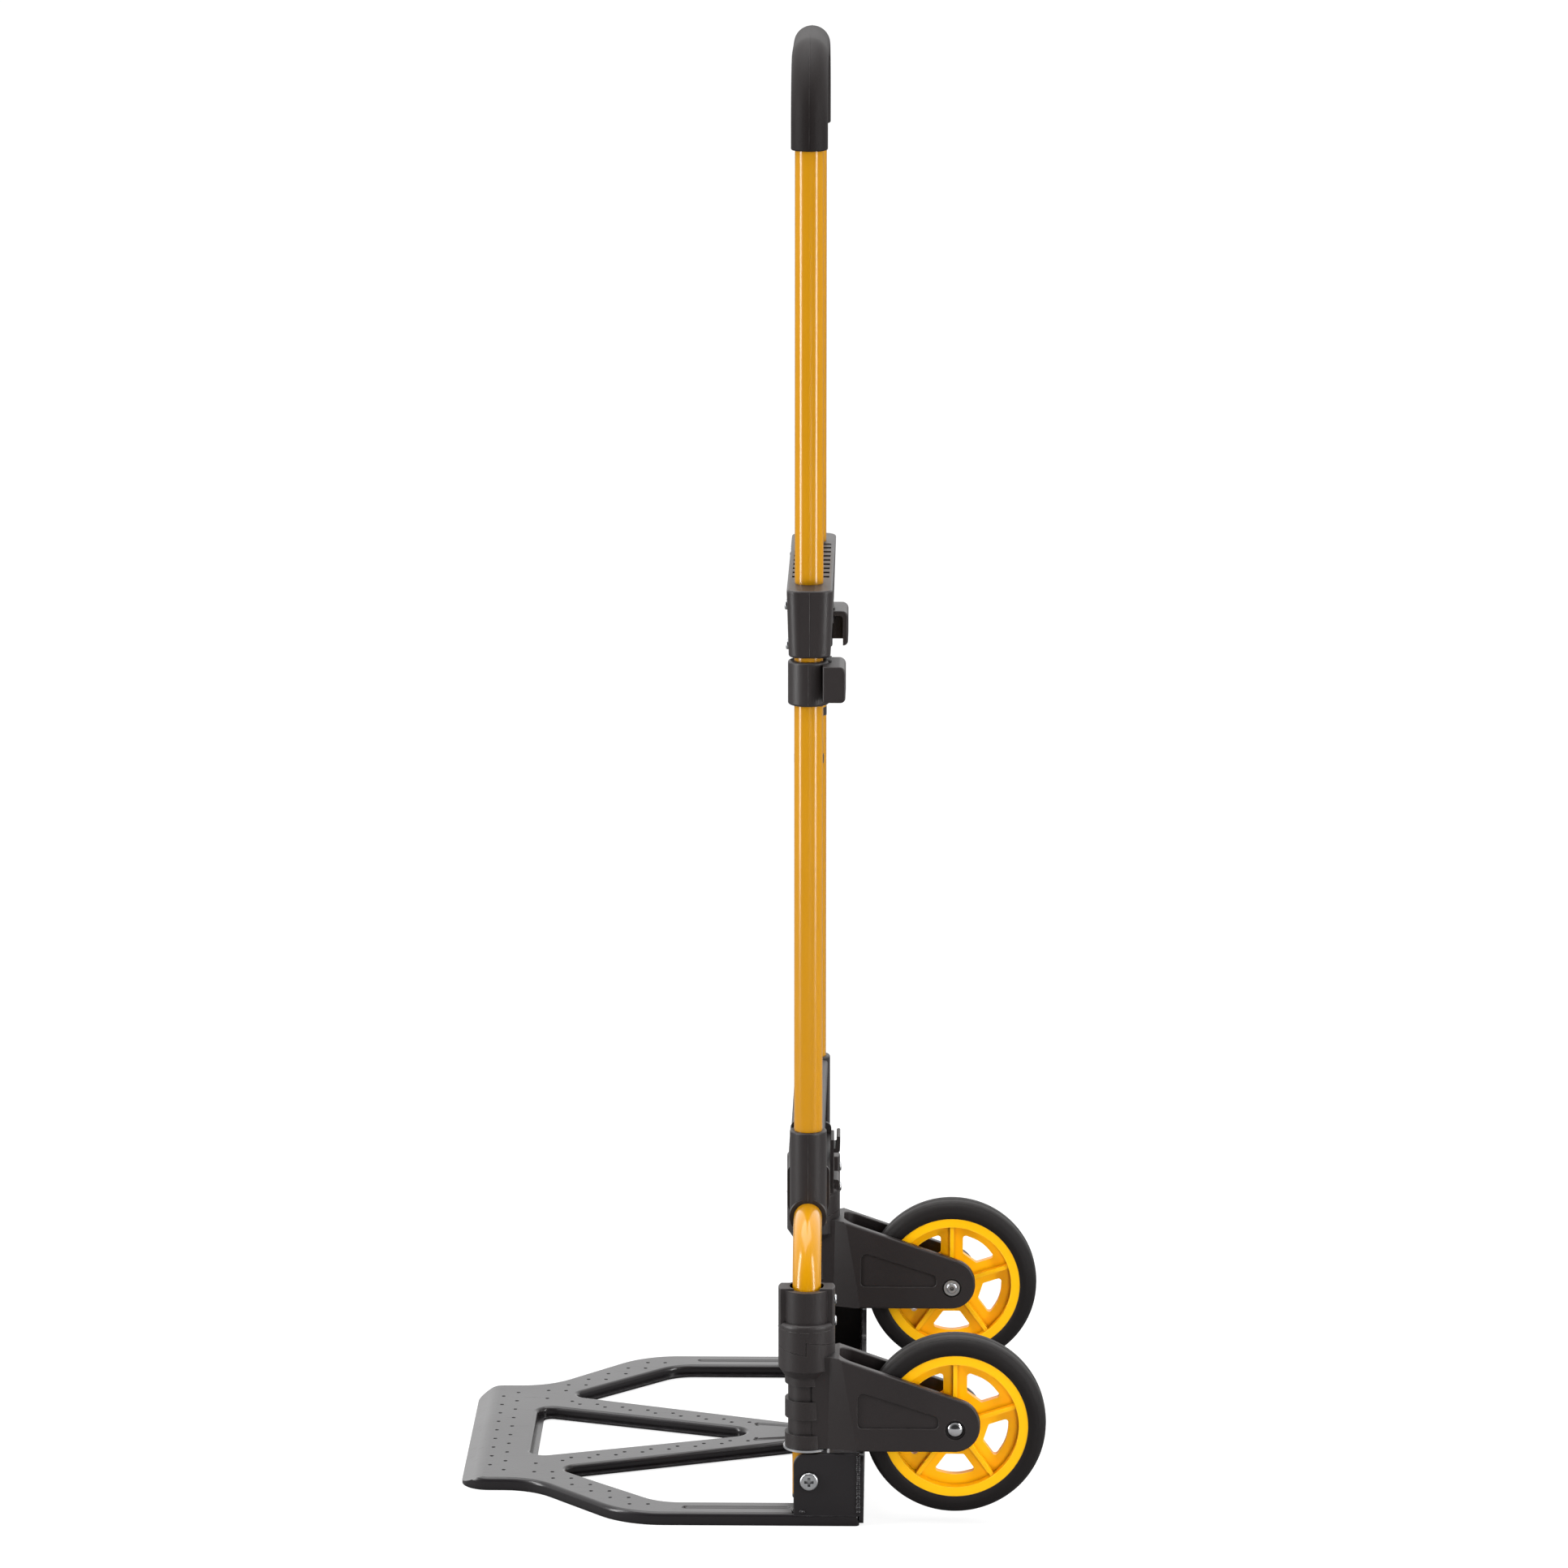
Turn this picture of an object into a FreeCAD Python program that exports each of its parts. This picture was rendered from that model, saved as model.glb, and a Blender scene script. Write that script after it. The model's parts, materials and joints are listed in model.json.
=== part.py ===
import FreeCAD, Part
import math
import os
from FreeCAD import Vector

# Folding two-wheel hand truck, millimetres.  +X to the rear (wheel side), +Z up.
# The origin is the centre of the bounding box, on the floor.
# Every paired piece is built for the right side (+Y) and mirrored to the left (-Y).

# ---- driving dimensions ----------------------------------------------------------------
LEG_X = 40.0              # common plane of all the tubes
LEG_Y = 178.0             # leg axis, also the wheel's middle plane
UPRIGHT_Y = 108.0         # lower uprights
HANDLE_Y = 87.0           # sliding handle tubes, just inboard of the uprights
TUBE_R = 10.0
TUBE_WALL = 1.5
RUNNING_GAP = 0.06        # radial clearance of everything that slides or turns on a tube
FIT_GAP = 0.02            # radial clearance of a collar that is screwed fast to its tube

FRAME_TOP_Z = 204.0       # axis of the lower frame's cross tube
FRAME_BEND_R = 50.0
LEG_BOTTOM_Z = 20.0
UPRIGHT_TOP_Z = 640.0

BLOCK_BOTTOM_Z, BLOCK_TOP_Z = 604.0, 651.5
BLOCK_FRONT_X, BLOCK_REAR_X = 24.75, 56.75
BLOCK_HALF_Y = 121.5
BLOCK_CORNER_R, BLOCK_DRAFT = 9.0, 1.5
POCKET_HALF_Y = 74.0      # half width of the pockets in its top and its underside
POCKET_RIBS = 9
BLOCK_SCREWS_Z = (612.0, 640.0)
BLOCK_SCREW_R = 2.0
PIN_X, PIN_Y, PIN_R = 51.5, 97.5, 2.5   # latch pins of the handle
PIN_LOW_Z, PIN_TOP_Z = 592.0, 628.0

GRIP_R = 12.75
GRIP_BOTTOM_Z = 953.0
HANDLE_TOP_Z = 1013.25    # axis of the handle's top bar
HANDLE_BEND_R = 45.0
HANDLE_BOTTOM_Z = 530.0

RELEASE_BOTTOM_Z, RELEASE_TOP_Z = 570.0, 601.0
RELEASE_R = 14.35

SADDLE_R, SADDLE_WALL = 13.0, 3.0
SADDLE_TOP_Z = 264.5
SADDLE_SKIRT_Z = 197.0

COLLAR_R = 19.8           # cam collar and yoke hub
COLLAR_TOP_Z = 170.5
COLLAR_STEP_Z = 146.6
COLLAR_SHOULDER_R = 3.0
COLLAR_NECK_R = 16.5
COLLAR_FIN_HALF = 8.0
COLLAR_SCREWS_Z = (145.5, 161.0)
COLLAR_SCREW_R, COLLAR_SCREW_SINK = 1.8, 0.9
CAM_LOW_Z = 124.9         # the saw-tooth split runs from here ...
CAM_RISE = 9.3            # ... up by this much over half a turn
CAM_GAP = 0.4
CAM_STEP_GAP_DEG = 1.4

HUB_BOTTOM_Z = 107.0
YOKE_BOTTOM_Z = 55.5
SLEEVE_R = 13.0
RING_R = 15.2
WASHER_R = 16.4
WASHER_T = 1.5

AXLE_DX = 103.75          # wheel axle behind the leg axis
AXLE_Z = 72.5
AXLE_R = 4.0
AXLE_SCREW_R = 2.4
AXLE_WASHER_T = 1.1
BUSH_R, BUSH_HALF = 7.0, 13.2
YOKE_TIP_R = 18.2         # round end of the fork's arms
YOKE_TIP_X, YOKE_TIP_TOP_Z = 121.2, 88.7
YOKE_SLOPE = 0.351        # fall of the upper edge of its arms
YOKE_TOP_Z = 123.2        # top of the fork beside its hub
SLOT_START, SLOT_CORNER_R = 23.0, 8.5
PANEL_DEPTH = 1.3
LINER_R, LINER_BOTTOM_Z = 12.0, 118.0   # thin liner of the collar, inside the fork's hub
YOKE_HALF = 21.0
SEAT_R, SEAT_DEPTH = 7.2, 1.4   # recess round each end of the axle
SLOT_HALF = 14.5
WHEEL_R = 63.5
TYRE_HALF = 13.0
RIM_R = 51.0
BED_R = 48.0
RIM_IN_R = 44.5
RIM_HALF = 11.5
SPOKES = 5
SPOKE_HALF = 8.3          # half width of the web that is left between two windows
WINDOW_IN_R, WINDOW_OUT_R = 23.6, 37.6

HINGE_X, HINGE_Z = 41.9, 32.7
HINGE_R = 3.0
PLATE_Z = 9.0             # upper face of the toe plate
PLATE_T = 2.2
PLATE_HALF_Y = 192.0
PLATE_FRONT_X = -207.25
PLATE_REAR_X = 77.0
PLATE_FRONT_HALF = 114.5
HALF_OUTLINE = [(PLATE_REAR_X, PLATE_HALF_Y), (-87.25, PLATE_HALF_Y),
                (-156.25, PLATE_FRONT_HALF), (PLATE_FRONT_X, PLATE_FRONT_HALF)]
HALF_OUTLINE_R = [3.0, 60.0, 45.0, 20.0]
MIDDLE_HOLE = [(-160.5, 61.5), (-160.5, -61.5), (15.0, 0.0)]
MIDDLE_HOLE_R = [10.0, 10.0, 11.0]
SIDE_HOLE = [(-140.2, 88.1), (52.0, 14.0), (52.0, 165.0), (-63.25, 165.0)]
SIDE_HOLE_R = [9.0, 9.0, 9.0, 35.0]
LIP = 4.0                 # flange turned in round each opening
EAR_T = 3.0
EAR_TOP_Z = 52.5
EAR_CORNER_R = 8.5
EAR_FRONT_X = 31.0
WALL_LOW_Z = 33.0         # rear wall between the wheels

UP = Vector(0, 0, 1)
ACROSS = Vector(0, 1, 0)
BACK = Vector(1, 0, 0)
ORIGIN = Vector(0, 0, 0)


# ---- helpers ---------------------------------------------------------------------------
def mirrored(shape):
    return shape.mirror(ORIGIN, ACROSS)


def save(name, shape):
    shape = shape.removeSplitter()
    shape.exportStep("parts/%s.step" % name)
    print(name, "solids", len(shape.Solids), "volume", round(shape.Volume), shape.isValid())


def save_pair(name, shape):
    save("right_" + name, shape)
    save("left_" + name, mirrored(shape))


def cylinder(radius, z_low, z_high, x, y):
    return Part.makeCylinder(radius, z_high - z_low, Vector(x, y, z_low), UP)


def box(x0, x1, y0, y1, z0, z1):
    return Part.makeBox(x1 - x0, y1 - y0, z1 - z0, Vector(x0, y0, z0))


def rounded_wire(points, radii, lift=0.0):
    """Closed outline in the XY plane with an arc of the given radius at each point."""
    count = len(points)
    starts, middles, ends = [], [], []
    for index in range(count):
        corner = Vector(points[index][0], points[index][1], lift)
        before = Vector(points[index - 1][0], points[index - 1][1], lift) - corner
        after_point = points[(index + 1) % count]
        after = Vector(after_point[0], after_point[1], lift) - corner
        before.normalize()
        after.normalize()
        half = before.getAngle(after) / 2
        reach = radii[index] / math.tan(half)
        bisector = before + after
        bisector.normalize()
        starts.append(corner + before * reach)
        ends.append(corner + after * reach)
        middles.append(corner + bisector * (radii[index] / math.sin(half) - radii[index]))
    edges = []
    for index in range(count):
        edges.append(Part.Arc(starts[index], middles[index], ends[index]).toShape())
        following = starts[(index + 1) % count]
        if ends[index].distanceToPoint(following) > 1e-6:
            edges.append(Part.makeLine(ends[index], following))
    return Part.Wire(edges)


def prism(points, radii, z_low, z_high):
    face = Part.Face(rounded_wire(points, radii, z_low))
    return face.extrude(Vector(0, 0, z_high - z_low))


def side_prism(points, radii, y_low, y_high):
    """Outline given as (x, z) pairs, extruded across the truck."""
    shape = prism([(x, -z) for x, z in points], radii, y_low, y_high)
    shape.rotate(ORIGIN, BACK, -90)
    return shape


def swept_tube(path, start, direction, radius, bore=0.0):
    outer = Part.Wire(Part.makeCircle(radius, start, direction))
    tube = path.makePipeShell([outer], True, True)
    if bore > 0:
        inner = Part.Wire(Part.makeCircle(bore, start, direction))
        tube = tube.cut(path.makePipeShell([inner], True, True))
    return tube


def arch_path(half_y, low_z, top_z, bend_r):
    """Inverted U in the plane of the tubes, from the left foot to the right one."""
    turn = bend_r * (1 - math.sqrt(0.5))
    left, right = -half_y, half_y
    inner = half_y - bend_r
    side_z = top_z - bend_r
    points = [
        Vector(LEG_X, left, low_z), Vector(LEG_X, left, side_z),
        Vector(LEG_X, left + turn, top_z - turn), Vector(LEG_X, -inner, top_z),
        Vector(LEG_X, inner, top_z), Vector(LEG_X, right - turn, top_z - turn),
        Vector(LEG_X, right, side_z), Vector(LEG_X, right, low_z)]
    return Part.Wire([
        Part.makeLine(points[0], points[1]),
        Part.Arc(points[1], points[2], points[3]).toShape(),
        Part.makeLine(points[3], points[4]),
        Part.Arc(points[4], points[5], points[6]).toShape(),
        Part.makeLine(points[6], points[7])])


def cross_recess(size, depth):
    """Phillips recess, its mouth on z = 0 and cut downward."""
    slot = size * 0.3
    bar = box(-size, size, -slot, slot, -depth, 0.1)
    return bar.fuse(box(-slot, slot, -size, size, -depth, 0.1))


def pan_screw(head_r, head_t, shank_r, length):
    """Screw pointing down -Z with the underside of its head on z = 0."""
    head = Part.makeCylinder(head_r, head_t)
    head = head.makeFillet(head_t * 0.6, [edge for edge in head.Edges
                                          if edge.BoundBox.ZMin > head_t - 0.01])
    recess = cross_recess(head_r * 0.5, head_t * 0.55)
    recess.translate(Vector(0, 0, head_t))
    shank = Part.makeCylinder(shank_r, length, ORIGIN, Vector(0, 0, -1))
    return head.cut(recess).fuse(shank)


def hex_prism(across_flats, height):
    corner = across_flats / math.sqrt(3)
    points = [Vector(corner * math.cos(math.radians(60 * k)),
                     corner * math.sin(math.radians(60 * k)), 0) for k in range(7)]
    return Part.Face(Part.makePolygon(points)).extrude(Vector(0, 0, height))


# ---- fixed frame -----------------------------------------------------------------------
def lower_frame():
    path = arch_path(LEG_Y, LEG_BOTTOM_Z, FRAME_TOP_Z, FRAME_BEND_R)
    start = Vector(LEG_X, -LEG_Y, LEG_BOTTOM_Z)
    tube = swept_tube(path, start, UP, TUBE_R, TUBE_R - TUBE_WALL)
    for side in (-1, 1):
        hole = Part.makeCylinder(HINGE_R + RUNNING_GAP, 4 * TUBE_R,
                                 Vector(HINGE_X, side * LEG_Y - 2 * TUBE_R, HINGE_Z), ACROSS)
        tube = tube.cut(hole)
    return tube


def upright():
    outer = cylinder(TUBE_R, FRAME_TOP_Z, UPRIGHT_TOP_Z, LEG_X, UPRIGHT_Y)
    inner = cylinder(TUBE_R - TUBE_WALL, FRAME_TOP_Z - 1, UPRIGHT_TOP_Z + 1, LEG_X, UPRIGHT_Y)
    cross_tube = Part.makeCylinder(TUBE_R + FIT_GAP, 60,
                                   Vector(LEG_X, UPRIGHT_Y - 30, FRAME_TOP_Z), ACROSS)
    tube = outer.cut(inner).cut(cross_tube)
    return max(tube.Solids, key=lambda solid: solid.Volume)


def saddle():
    """Sleeve at the foot of an upright, sitting astride the cross tube."""
    body = cylinder(SADDLE_R, SADDLE_SKIRT_Z, SADDLE_TOP_Z, LEG_X, UPRIGHT_Y)
    body = body.makeFillet(1.2, [edge for edge in body.Edges
                                 if edge.BoundBox.ZMin > SADDLE_TOP_Z - 0.01])
    skirt_y = SADDLE_R - 0.4
    arch = Part.makeCylinder(TUBE_R + SADDLE_WALL, 2 * skirt_y,
                             Vector(LEG_X, UPRIGHT_Y - skirt_y, FRAME_TOP_Z), ACROSS)
    lip = arch.common(box(LEG_X - 20, LEG_X + 20, UPRIGHT_Y - 20, UPRIGHT_Y + 20,
                          SADDLE_SKIRT_Z, FRAME_TOP_Z + 20))
    body = body.fuse(lip)
    bore_r = TUBE_R + FIT_GAP
    body = body.cut(cylinder(bore_r, SADDLE_SKIRT_Z - 1, SADDLE_TOP_Z + 1, LEG_X, UPRIGHT_Y))
    tube = Part.makeCylinder(bore_r, 60, Vector(LEG_X, UPRIGHT_Y - 30, FRAME_TOP_Z), ACROSS)
    gate = box(LEG_X - bore_r, LEG_X + bore_r, UPRIGHT_Y - 30, UPRIGHT_Y + 30,
               SADDLE_SKIRT_Z - 1, FRAME_TOP_Z)
    return body.cut(tube).cut(gate)


def cross_member():
    """Moulded bridge between the saddles: a web, and a clamp round the cross tube."""
    reach = UPRIGHT_Y - SADDLE_R + 4.0
    web = side_prism([(28.0, 214.5), (51.5, 214.5), (51.5, 262.0), (28.0, 270.0)],
                     [1, 1, 3, 4], -reach, reach)
    hollow = side_prism([(31.0, 217.5), (54.0, 217.5), (54.0, 257.0), (31.0, 266.0)],
                        [1, 1, 1, 2], -reach + 10, reach - 10)
    web = web.cut(hollow)
    for k in range(-3, 4):
        rib_y = k * reach / 4
        web = web.fuse(side_prism([(30.0, 216.0), (50.5, 216.0), (50.5, 258.0), (30.0, 266.5)],
                                  [1, 1, 1, 1], rib_y - 1.1, rib_y + 1.1))
    clamp_half = 62.0
    clamp = side_prism([(24.5, 190.0), (54.5, 190.0), (54.5, 226.0), (24.5, 226.0)],
                       [8, 8, 5, 5], -clamp_half, clamp_half)
    clamp = clamp.cut(box(30.5, 56.0, -clamp_half + 3, clamp_half - 3, 217.5, 230.0))
    body = web.fuse(clamp)
    body = body.cut(Part.makeCylinder(TUBE_R, 2 * reach + 2,
                                      Vector(LEG_X, -reach - 1, FRAME_TOP_Z), ACROSS))
    for side in (-1, 1):
        body = body.cut(cylinder(SADDLE_R, 180.0, 300.0, LEG_X, side * UPRIGHT_Y))
        arch = Part.makeCylinder(TUBE_R + SADDLE_WALL, 2 * SADDLE_R,
                                 Vector(LEG_X, side * UPRIGHT_Y - SADDLE_R, FRAME_TOP_Z), ACROSS)
        body = body.cut(arch)
    return body.cut(box(LEG_X - TUBE_R, LEG_X + TUBE_R, -reach - 1, reach + 1,
                        180.0, FRAME_TOP_Z))


def cord_hook():
    """Double hook on the rear of the clamp, for the ends of an elastic cord."""
    plate = side_prism([(54.5, 192.0), (57.0, 192.0), (57.0, 232.0), (54.5, 232.0)],
                       [0.6, 0.6, 0.6, 0.6], -14, 14)
    upper = side_prism([(56.0, 222.0), (61.5, 222.0), (61.5, 234.0), (59.0, 234.0),
                        (59.0, 225.0), (56.0, 225.0)], [0.4, 2, 1, 1, 1, 0.4], -12, 12)
    lower = side_prism([(56.0, 202.0), (61.0, 202.0), (61.0, 194.0), (58.8, 194.0),
                        (58.8, 199.0), (56.0, 199.0)], [0.4, 2, 0.9, 0.9, 1, 0.4], -12, 12)
    return plate.fuse(upper).fuse(lower)


def cross_block():
    """Head block that holds the uprights and guides the handle tubes."""
    front, rear, half = BLOCK_FRONT_X, BLOCK_REAR_X, BLOCK_HALF_Y
    draft, corners = BLOCK_DRAFT, [BLOCK_CORNER_R] * 4
    low = rounded_wire([(front + draft, -half + 1), (rear - draft, -half + 1),
                        (rear - draft, half - 1), (front + draft, half - 1)],
                       corners, BLOCK_BOTTOM_Z)
    high = rounded_wire([(front, -half), (rear, -half), (rear, half), (front, half)],
                        corners, BLOCK_TOP_Z)
    body = Part.makeLoft([low, high], True, True)
    body = body.makeFillet(1.6, [edge for edge in body.Edges
                                 if edge.BoundBox.ZMin > BLOCK_TOP_Z - 0.01
                                 or edge.BoundBox.ZMax < BLOCK_BOTTOM_Z + 0.01])
    pocket = prism([(front + 3, -POCKET_HALF_Y), (rear - 3, -POCKET_HALF_Y),
                    (rear - 3, POCKET_HALF_Y), (front + 3, POCKET_HALF_Y)],
                   [2, 2, 2, 2], BLOCK_TOP_Z - 7, BLOCK_TOP_Z + 1)
    for k in range(POCKET_RIBS):
        rib_y = (k - (POCKET_RIBS - 1) / 2) * (2 * POCKET_HALF_Y - 12) / (POCKET_RIBS - 1)
        pocket = pocket.cut(box(front, rear, rib_y - 5.2, rib_y + 5.2,
                                BLOCK_TOP_Z - 8, BLOCK_TOP_Z - 0.6))
    body = body.cut(pocket)
    underside = prism([(front + 5, -POCKET_HALF_Y), (rear - 5, -POCKET_HALF_Y),
                       (rear - 5, POCKET_HALF_Y), (front + 5, POCKET_HALF_Y)],
                      [3, 3, 3, 3], BLOCK_BOTTOM_Z - 1, BLOCK_TOP_Z - 12)
    for k in range(-2, 3):
        underside = underside.cut(box(front, rear, k * 28 - 1.2, k * 28 + 1.2,
                                      BLOCK_BOTTOM_Z - 2, BLOCK_TOP_Z))
    body = body.cut(underside)
    for side in (-1, 1):
        body = body.cut(cylinder(TUBE_R, BLOCK_BOTTOM_Z - 1, UPRIGHT_TOP_Z,
                                 LEG_X, side * UPRIGHT_Y))
        body = body.cut(cylinder(TUBE_R + RUNNING_GAP, BLOCK_BOTTOM_Z - 1, BLOCK_TOP_Z + 1,
                                 LEG_X, side * HANDLE_Y))
        body = body.cut(cylinder(PIN_R + RUNNING_GAP, BLOCK_BOTTOM_Z - 1, PIN_TOP_Z + 5,
                                 PIN_X, side * PIN_Y))
    for screw_z in BLOCK_SCREWS_Z:
        screw = block_screw(screw_z)
        body = body.cut(screw).cut(mirrored(screw))
    return body


def block_screw(screw_z):
    screw = pan_screw(3.6, 1.8, BLOCK_SCREW_R, 3.4)
    screw.rotate(ORIGIN, ACROSS, -90)
    slope = BLOCK_DRAFT * (BLOCK_TOP_Z - screw_z) / (BLOCK_TOP_Z - BLOCK_BOTTOM_Z)
    screw.translate(Vector(BLOCK_FRONT_X + slope, UPRIGHT_Y, screw_z))
    return screw


# ---- cam pattern shared by the fixed collar and the yoke hub -------------------------------
def cam_teeth(base_z):
    """Two helical ramps that climb CAM_RISE over half a turn, as one solid from base_z up."""
    inner_r, outer_r = 6.0, COLLAR_R + 6.0
    pitch = 2 * CAM_RISE
    curves = {}
    for radius in (inner_r, outer_r):
        helix = Part.makeHelix(pitch, CAM_RISE, radius).Edges[0]
        helix.translate(Vector(0, 0, CAM_LOW_Z))
        arc = Part.makeCircle(radius, Vector(0, 0, base_z), UP, 0, 180)
        curves[radius] = (helix, arc)
    ramp = Part.makeRuledSurface(curves[inner_r][0], curves[outer_r][0])
    floor = Part.makeRuledSurface(curves[inner_r][1], curves[outer_r][1])
    walls = [Part.makeRuledSurface(curves[r][1], curves[r][0]) for r in (inner_r, outer_r)]
    ends = []
    for direction, top in ((1, CAM_LOW_Z), (-1, CAM_LOW_Z + CAM_RISE)):
        corners = [Vector(direction * r, 0, z) for r, z in
                   ((inner_r, base_z), (outer_r, base_z), (outer_r, top), (inner_r, top))]
        ends.append(Part.Face(Part.makePolygon(corners + corners[:1])))
    shell = Part.makeShell([ramp, floor] + walls + ends)
    shell.sewShape()
    tooth = Part.makeSolid(shell)
    if tooth.Volume < 0:
        tooth.reverse()
    tooth.rotate(ORIGIN, UP, -90)
    other = tooth.copy()
    other.rotate(ORIGIN, UP, 180)
    return tooth, other


def cam_collar():
    """Collar fixed to the leg; its lower edge is the saw-tooth cam."""
    drum = cylinder(COLLAR_R, CAM_LOW_Z - 1, COLLAR_STEP_Z, 0, 0)
    drum = drum.makeFillet(COLLAR_SHOULDER_R, [edge for edge in drum.Edges
                                               if edge.BoundBox.ZMin > COLLAR_STEP_Z - 0.01])
    fins = cylinder(COLLAR_R, CAM_LOW_Z + CAM_RISE + 2, COLLAR_TOP_Z, 0, 0)
    fins = fins.common(box(-30, 30, -COLLAR_FIN_HALF, COLLAR_FIN_HALF, 0, 200))
    neck = cylinder(COLLAR_NECK_R, COLLAR_STEP_Z - 4, COLLAR_TOP_Z - 1.2, 0, 0)
    body = drum.fuse(fins).fuse(neck).removeSplitter()
    body = body.makeFillet(0.8, [edge for edge in body.Edges
                                 if edge.BoundBox.ZMin > COLLAR_TOP_Z - 0.01])
    recess = cylinder(TUBE_R + 2.0, COLLAR_TOP_Z - 6, COLLAR_TOP_Z + 1, 0, 0)
    liner = cylinder(LINER_R, LINER_BOTTOM_Z, CAM_LOW_Z + CAM_RISE + 3, 0, 0)
    body = body.cut(recess)
    for tooth in cam_teeth(CAM_LOW_Z - 20):
        tooth.rotate(ORIGIN, UP, CAM_STEP_GAP_DEG)
        tooth.translate(Vector(0, 0, CAM_GAP))
        body = body.cut(tooth)
    body = body.fuse(liner).cut(cylinder(TUBE_R + FIT_GAP, 100, 200, 0, 0))
    bend_z = FRAME_TOP_Z - FRAME_BEND_R
    bend = Part.makeTorus(FRAME_BEND_R, TUBE_R + FIT_GAP, Vector(0, -FRAME_BEND_R, bend_z), BACK)
    body = body.cut(bend.common(box(-30, 30, -30, 30, bend_z, 200)))
    for screw_z in COLLAR_SCREWS_Z:
        body = body.cut(Part.makeCylinder(COLLAR_SCREW_R, 8, Vector(COLLAR_R - 7, 0, screw_z),
                                          BACK))
        body = body.cut(Part.makeCylinder(3.6, 3, Vector(COLLAR_R - COLLAR_SCREW_SINK, 0, screw_z),
                                          BACK))
    body.translate(Vector(LEG_X, LEG_Y, 0))
    return body


def collar_screw(screw_z):
    screw = pan_screw(3.4, 2.0, COLLAR_SCREW_R, 5.5)
    screw.rotate(ORIGIN, ACROSS, 90)
    screw.translate(Vector(LEG_X + COLLAR_R - COLLAR_SCREW_SINK, LEG_Y, screw_z))
    return screw


def leg_plug():
    """Plug in the foot of the leg; the hinge screw turns in it."""
    plug = cylinder(TUBE_R - TUBE_WALL, LEG_BOTTOM_Z, 46.0, LEG_X, LEG_Y)
    plug = plug.fuse(cylinder(TUBE_R, LEG_BOTTOM_Z - 2.5, LEG_BOTTOM_Z, LEG_X, LEG_Y))
    return plug.cut(Part.makeCylinder(HINGE_R + RUNNING_GAP, 4 * TUBE_R,
                                      Vector(HINGE_X, LEG_Y - 2 * TUBE_R, HINGE_Z), ACROSS))


# ---- sliding handle ----------------------------------------------------------------------
def handle_tube():
    path = arch_path(HANDLE_Y, HANDLE_BOTTOM_Z, HANDLE_TOP_Z, HANDLE_BEND_R)
    start = Vector(LEG_X, -HANDLE_Y, HANDLE_BOTTOM_Z)
    return swept_tube(path, start, UP, TUBE_R, TUBE_R - TUBE_WALL)


def handle_grip():
    path = arch_path(HANDLE_Y, GRIP_BOTTOM_Z, HANDLE_TOP_Z, HANDLE_BEND_R)
    start = Vector(LEG_X, -HANDLE_Y, GRIP_BOTTOM_Z)
    grip = swept_tube(path, start, UP, GRIP_R)
    grip = grip.makeFillet(1.2, [edge for edge in grip.Edges
                                 if edge.BoundBox.ZMax < GRIP_BOTTOM_Z + 0.01])
    return grip.cut(swept_tube(path, start, UP, TUBE_R))


def handle_foot():
    """Plug at the lower end of a handle tube."""
    flange = cylinder(TUBE_R + 0.4, HANDLE_BOTTOM_Z - 6, HANDLE_BOTTOM_Z, LEG_X, HANDLE_Y)
    return flange.fuse(cylinder(TUBE_R - TUBE_WALL, HANDLE_BOTTOM_Z - 1,
                                HANDLE_BOTTOM_Z + 18, LEG_X, HANDLE_Y))


# ---- release slides -------------------------------------------------------------------------
def release_collar():
    """Collar on the upright with a finger lever on its rear side."""
    collar = cylinder(RELEASE_R, RELEASE_BOTTOM_Z, RELEASE_TOP_Z, LEG_X, UPRIGHT_Y)
    collar = collar.makeFillet(1.6, [edge for edge in collar.Edges if len(edge.Vertexes) == 1])
    lever = side_prism([(50.0, 574.0), (65.75, 574.0), (65.75, 599.5), (50.0, 599.5)],
                       [0.5, 3.5, 4.5, 0.5], UPRIGHT_Y - 19.5, UPRIGHT_Y + 19.5)
    lever = lever.makeFillet(1.2, [edge for edge in lever.Edges
                                   if edge.BoundBox.XMin > 58 or edge.BoundBox.ZMin > 599])
    hollow = side_prism([(46.0, 570.0), (62.0, 570.0), (62.0, 596.0), (46.0, 596.0)],
                        [0.5, 0.5, 2.5, 0.5], UPRIGHT_Y - 21, UPRIGHT_Y + 16)
    lever = lever.cut(hollow).fuse(box(51.0, 63.0, UPRIGHT_Y - 1.5, UPRIGHT_Y + 1.5, 576.0, 597.0))
    bridge = prism([(LEG_X + 2, PIN_Y - 5), (56.0, PIN_Y - 5), (56.0, UPRIGHT_Y + 2),
                    (LEG_X + 2, UPRIGHT_Y + 2)], [1, 2, 2, 1], 590.0, RELEASE_TOP_Z)
    body = collar.fuse(lever).fuse(bridge)
    body = body.cut(cylinder(TUBE_R + RUNNING_GAP, 560, 610, LEG_X, UPRIGHT_Y))
    body = body.cut(cylinder(TUBE_R + 0.5, 560, 610, LEG_X, HANDLE_Y))
    return body.cut(cylinder(PIN_R + FIT_GAP, PIN_LOW_Z, 610.0, PIN_X, PIN_Y))


def release_pin():
    pin = cylinder(PIN_R, PIN_LOW_Z, PIN_TOP_Z, PIN_X, PIN_Y)
    return pin.makeChamfer(0.6, [edge for edge in pin.Edges
                                 if edge.BoundBox.ZMin > PIN_TOP_Z - 0.01])


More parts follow.
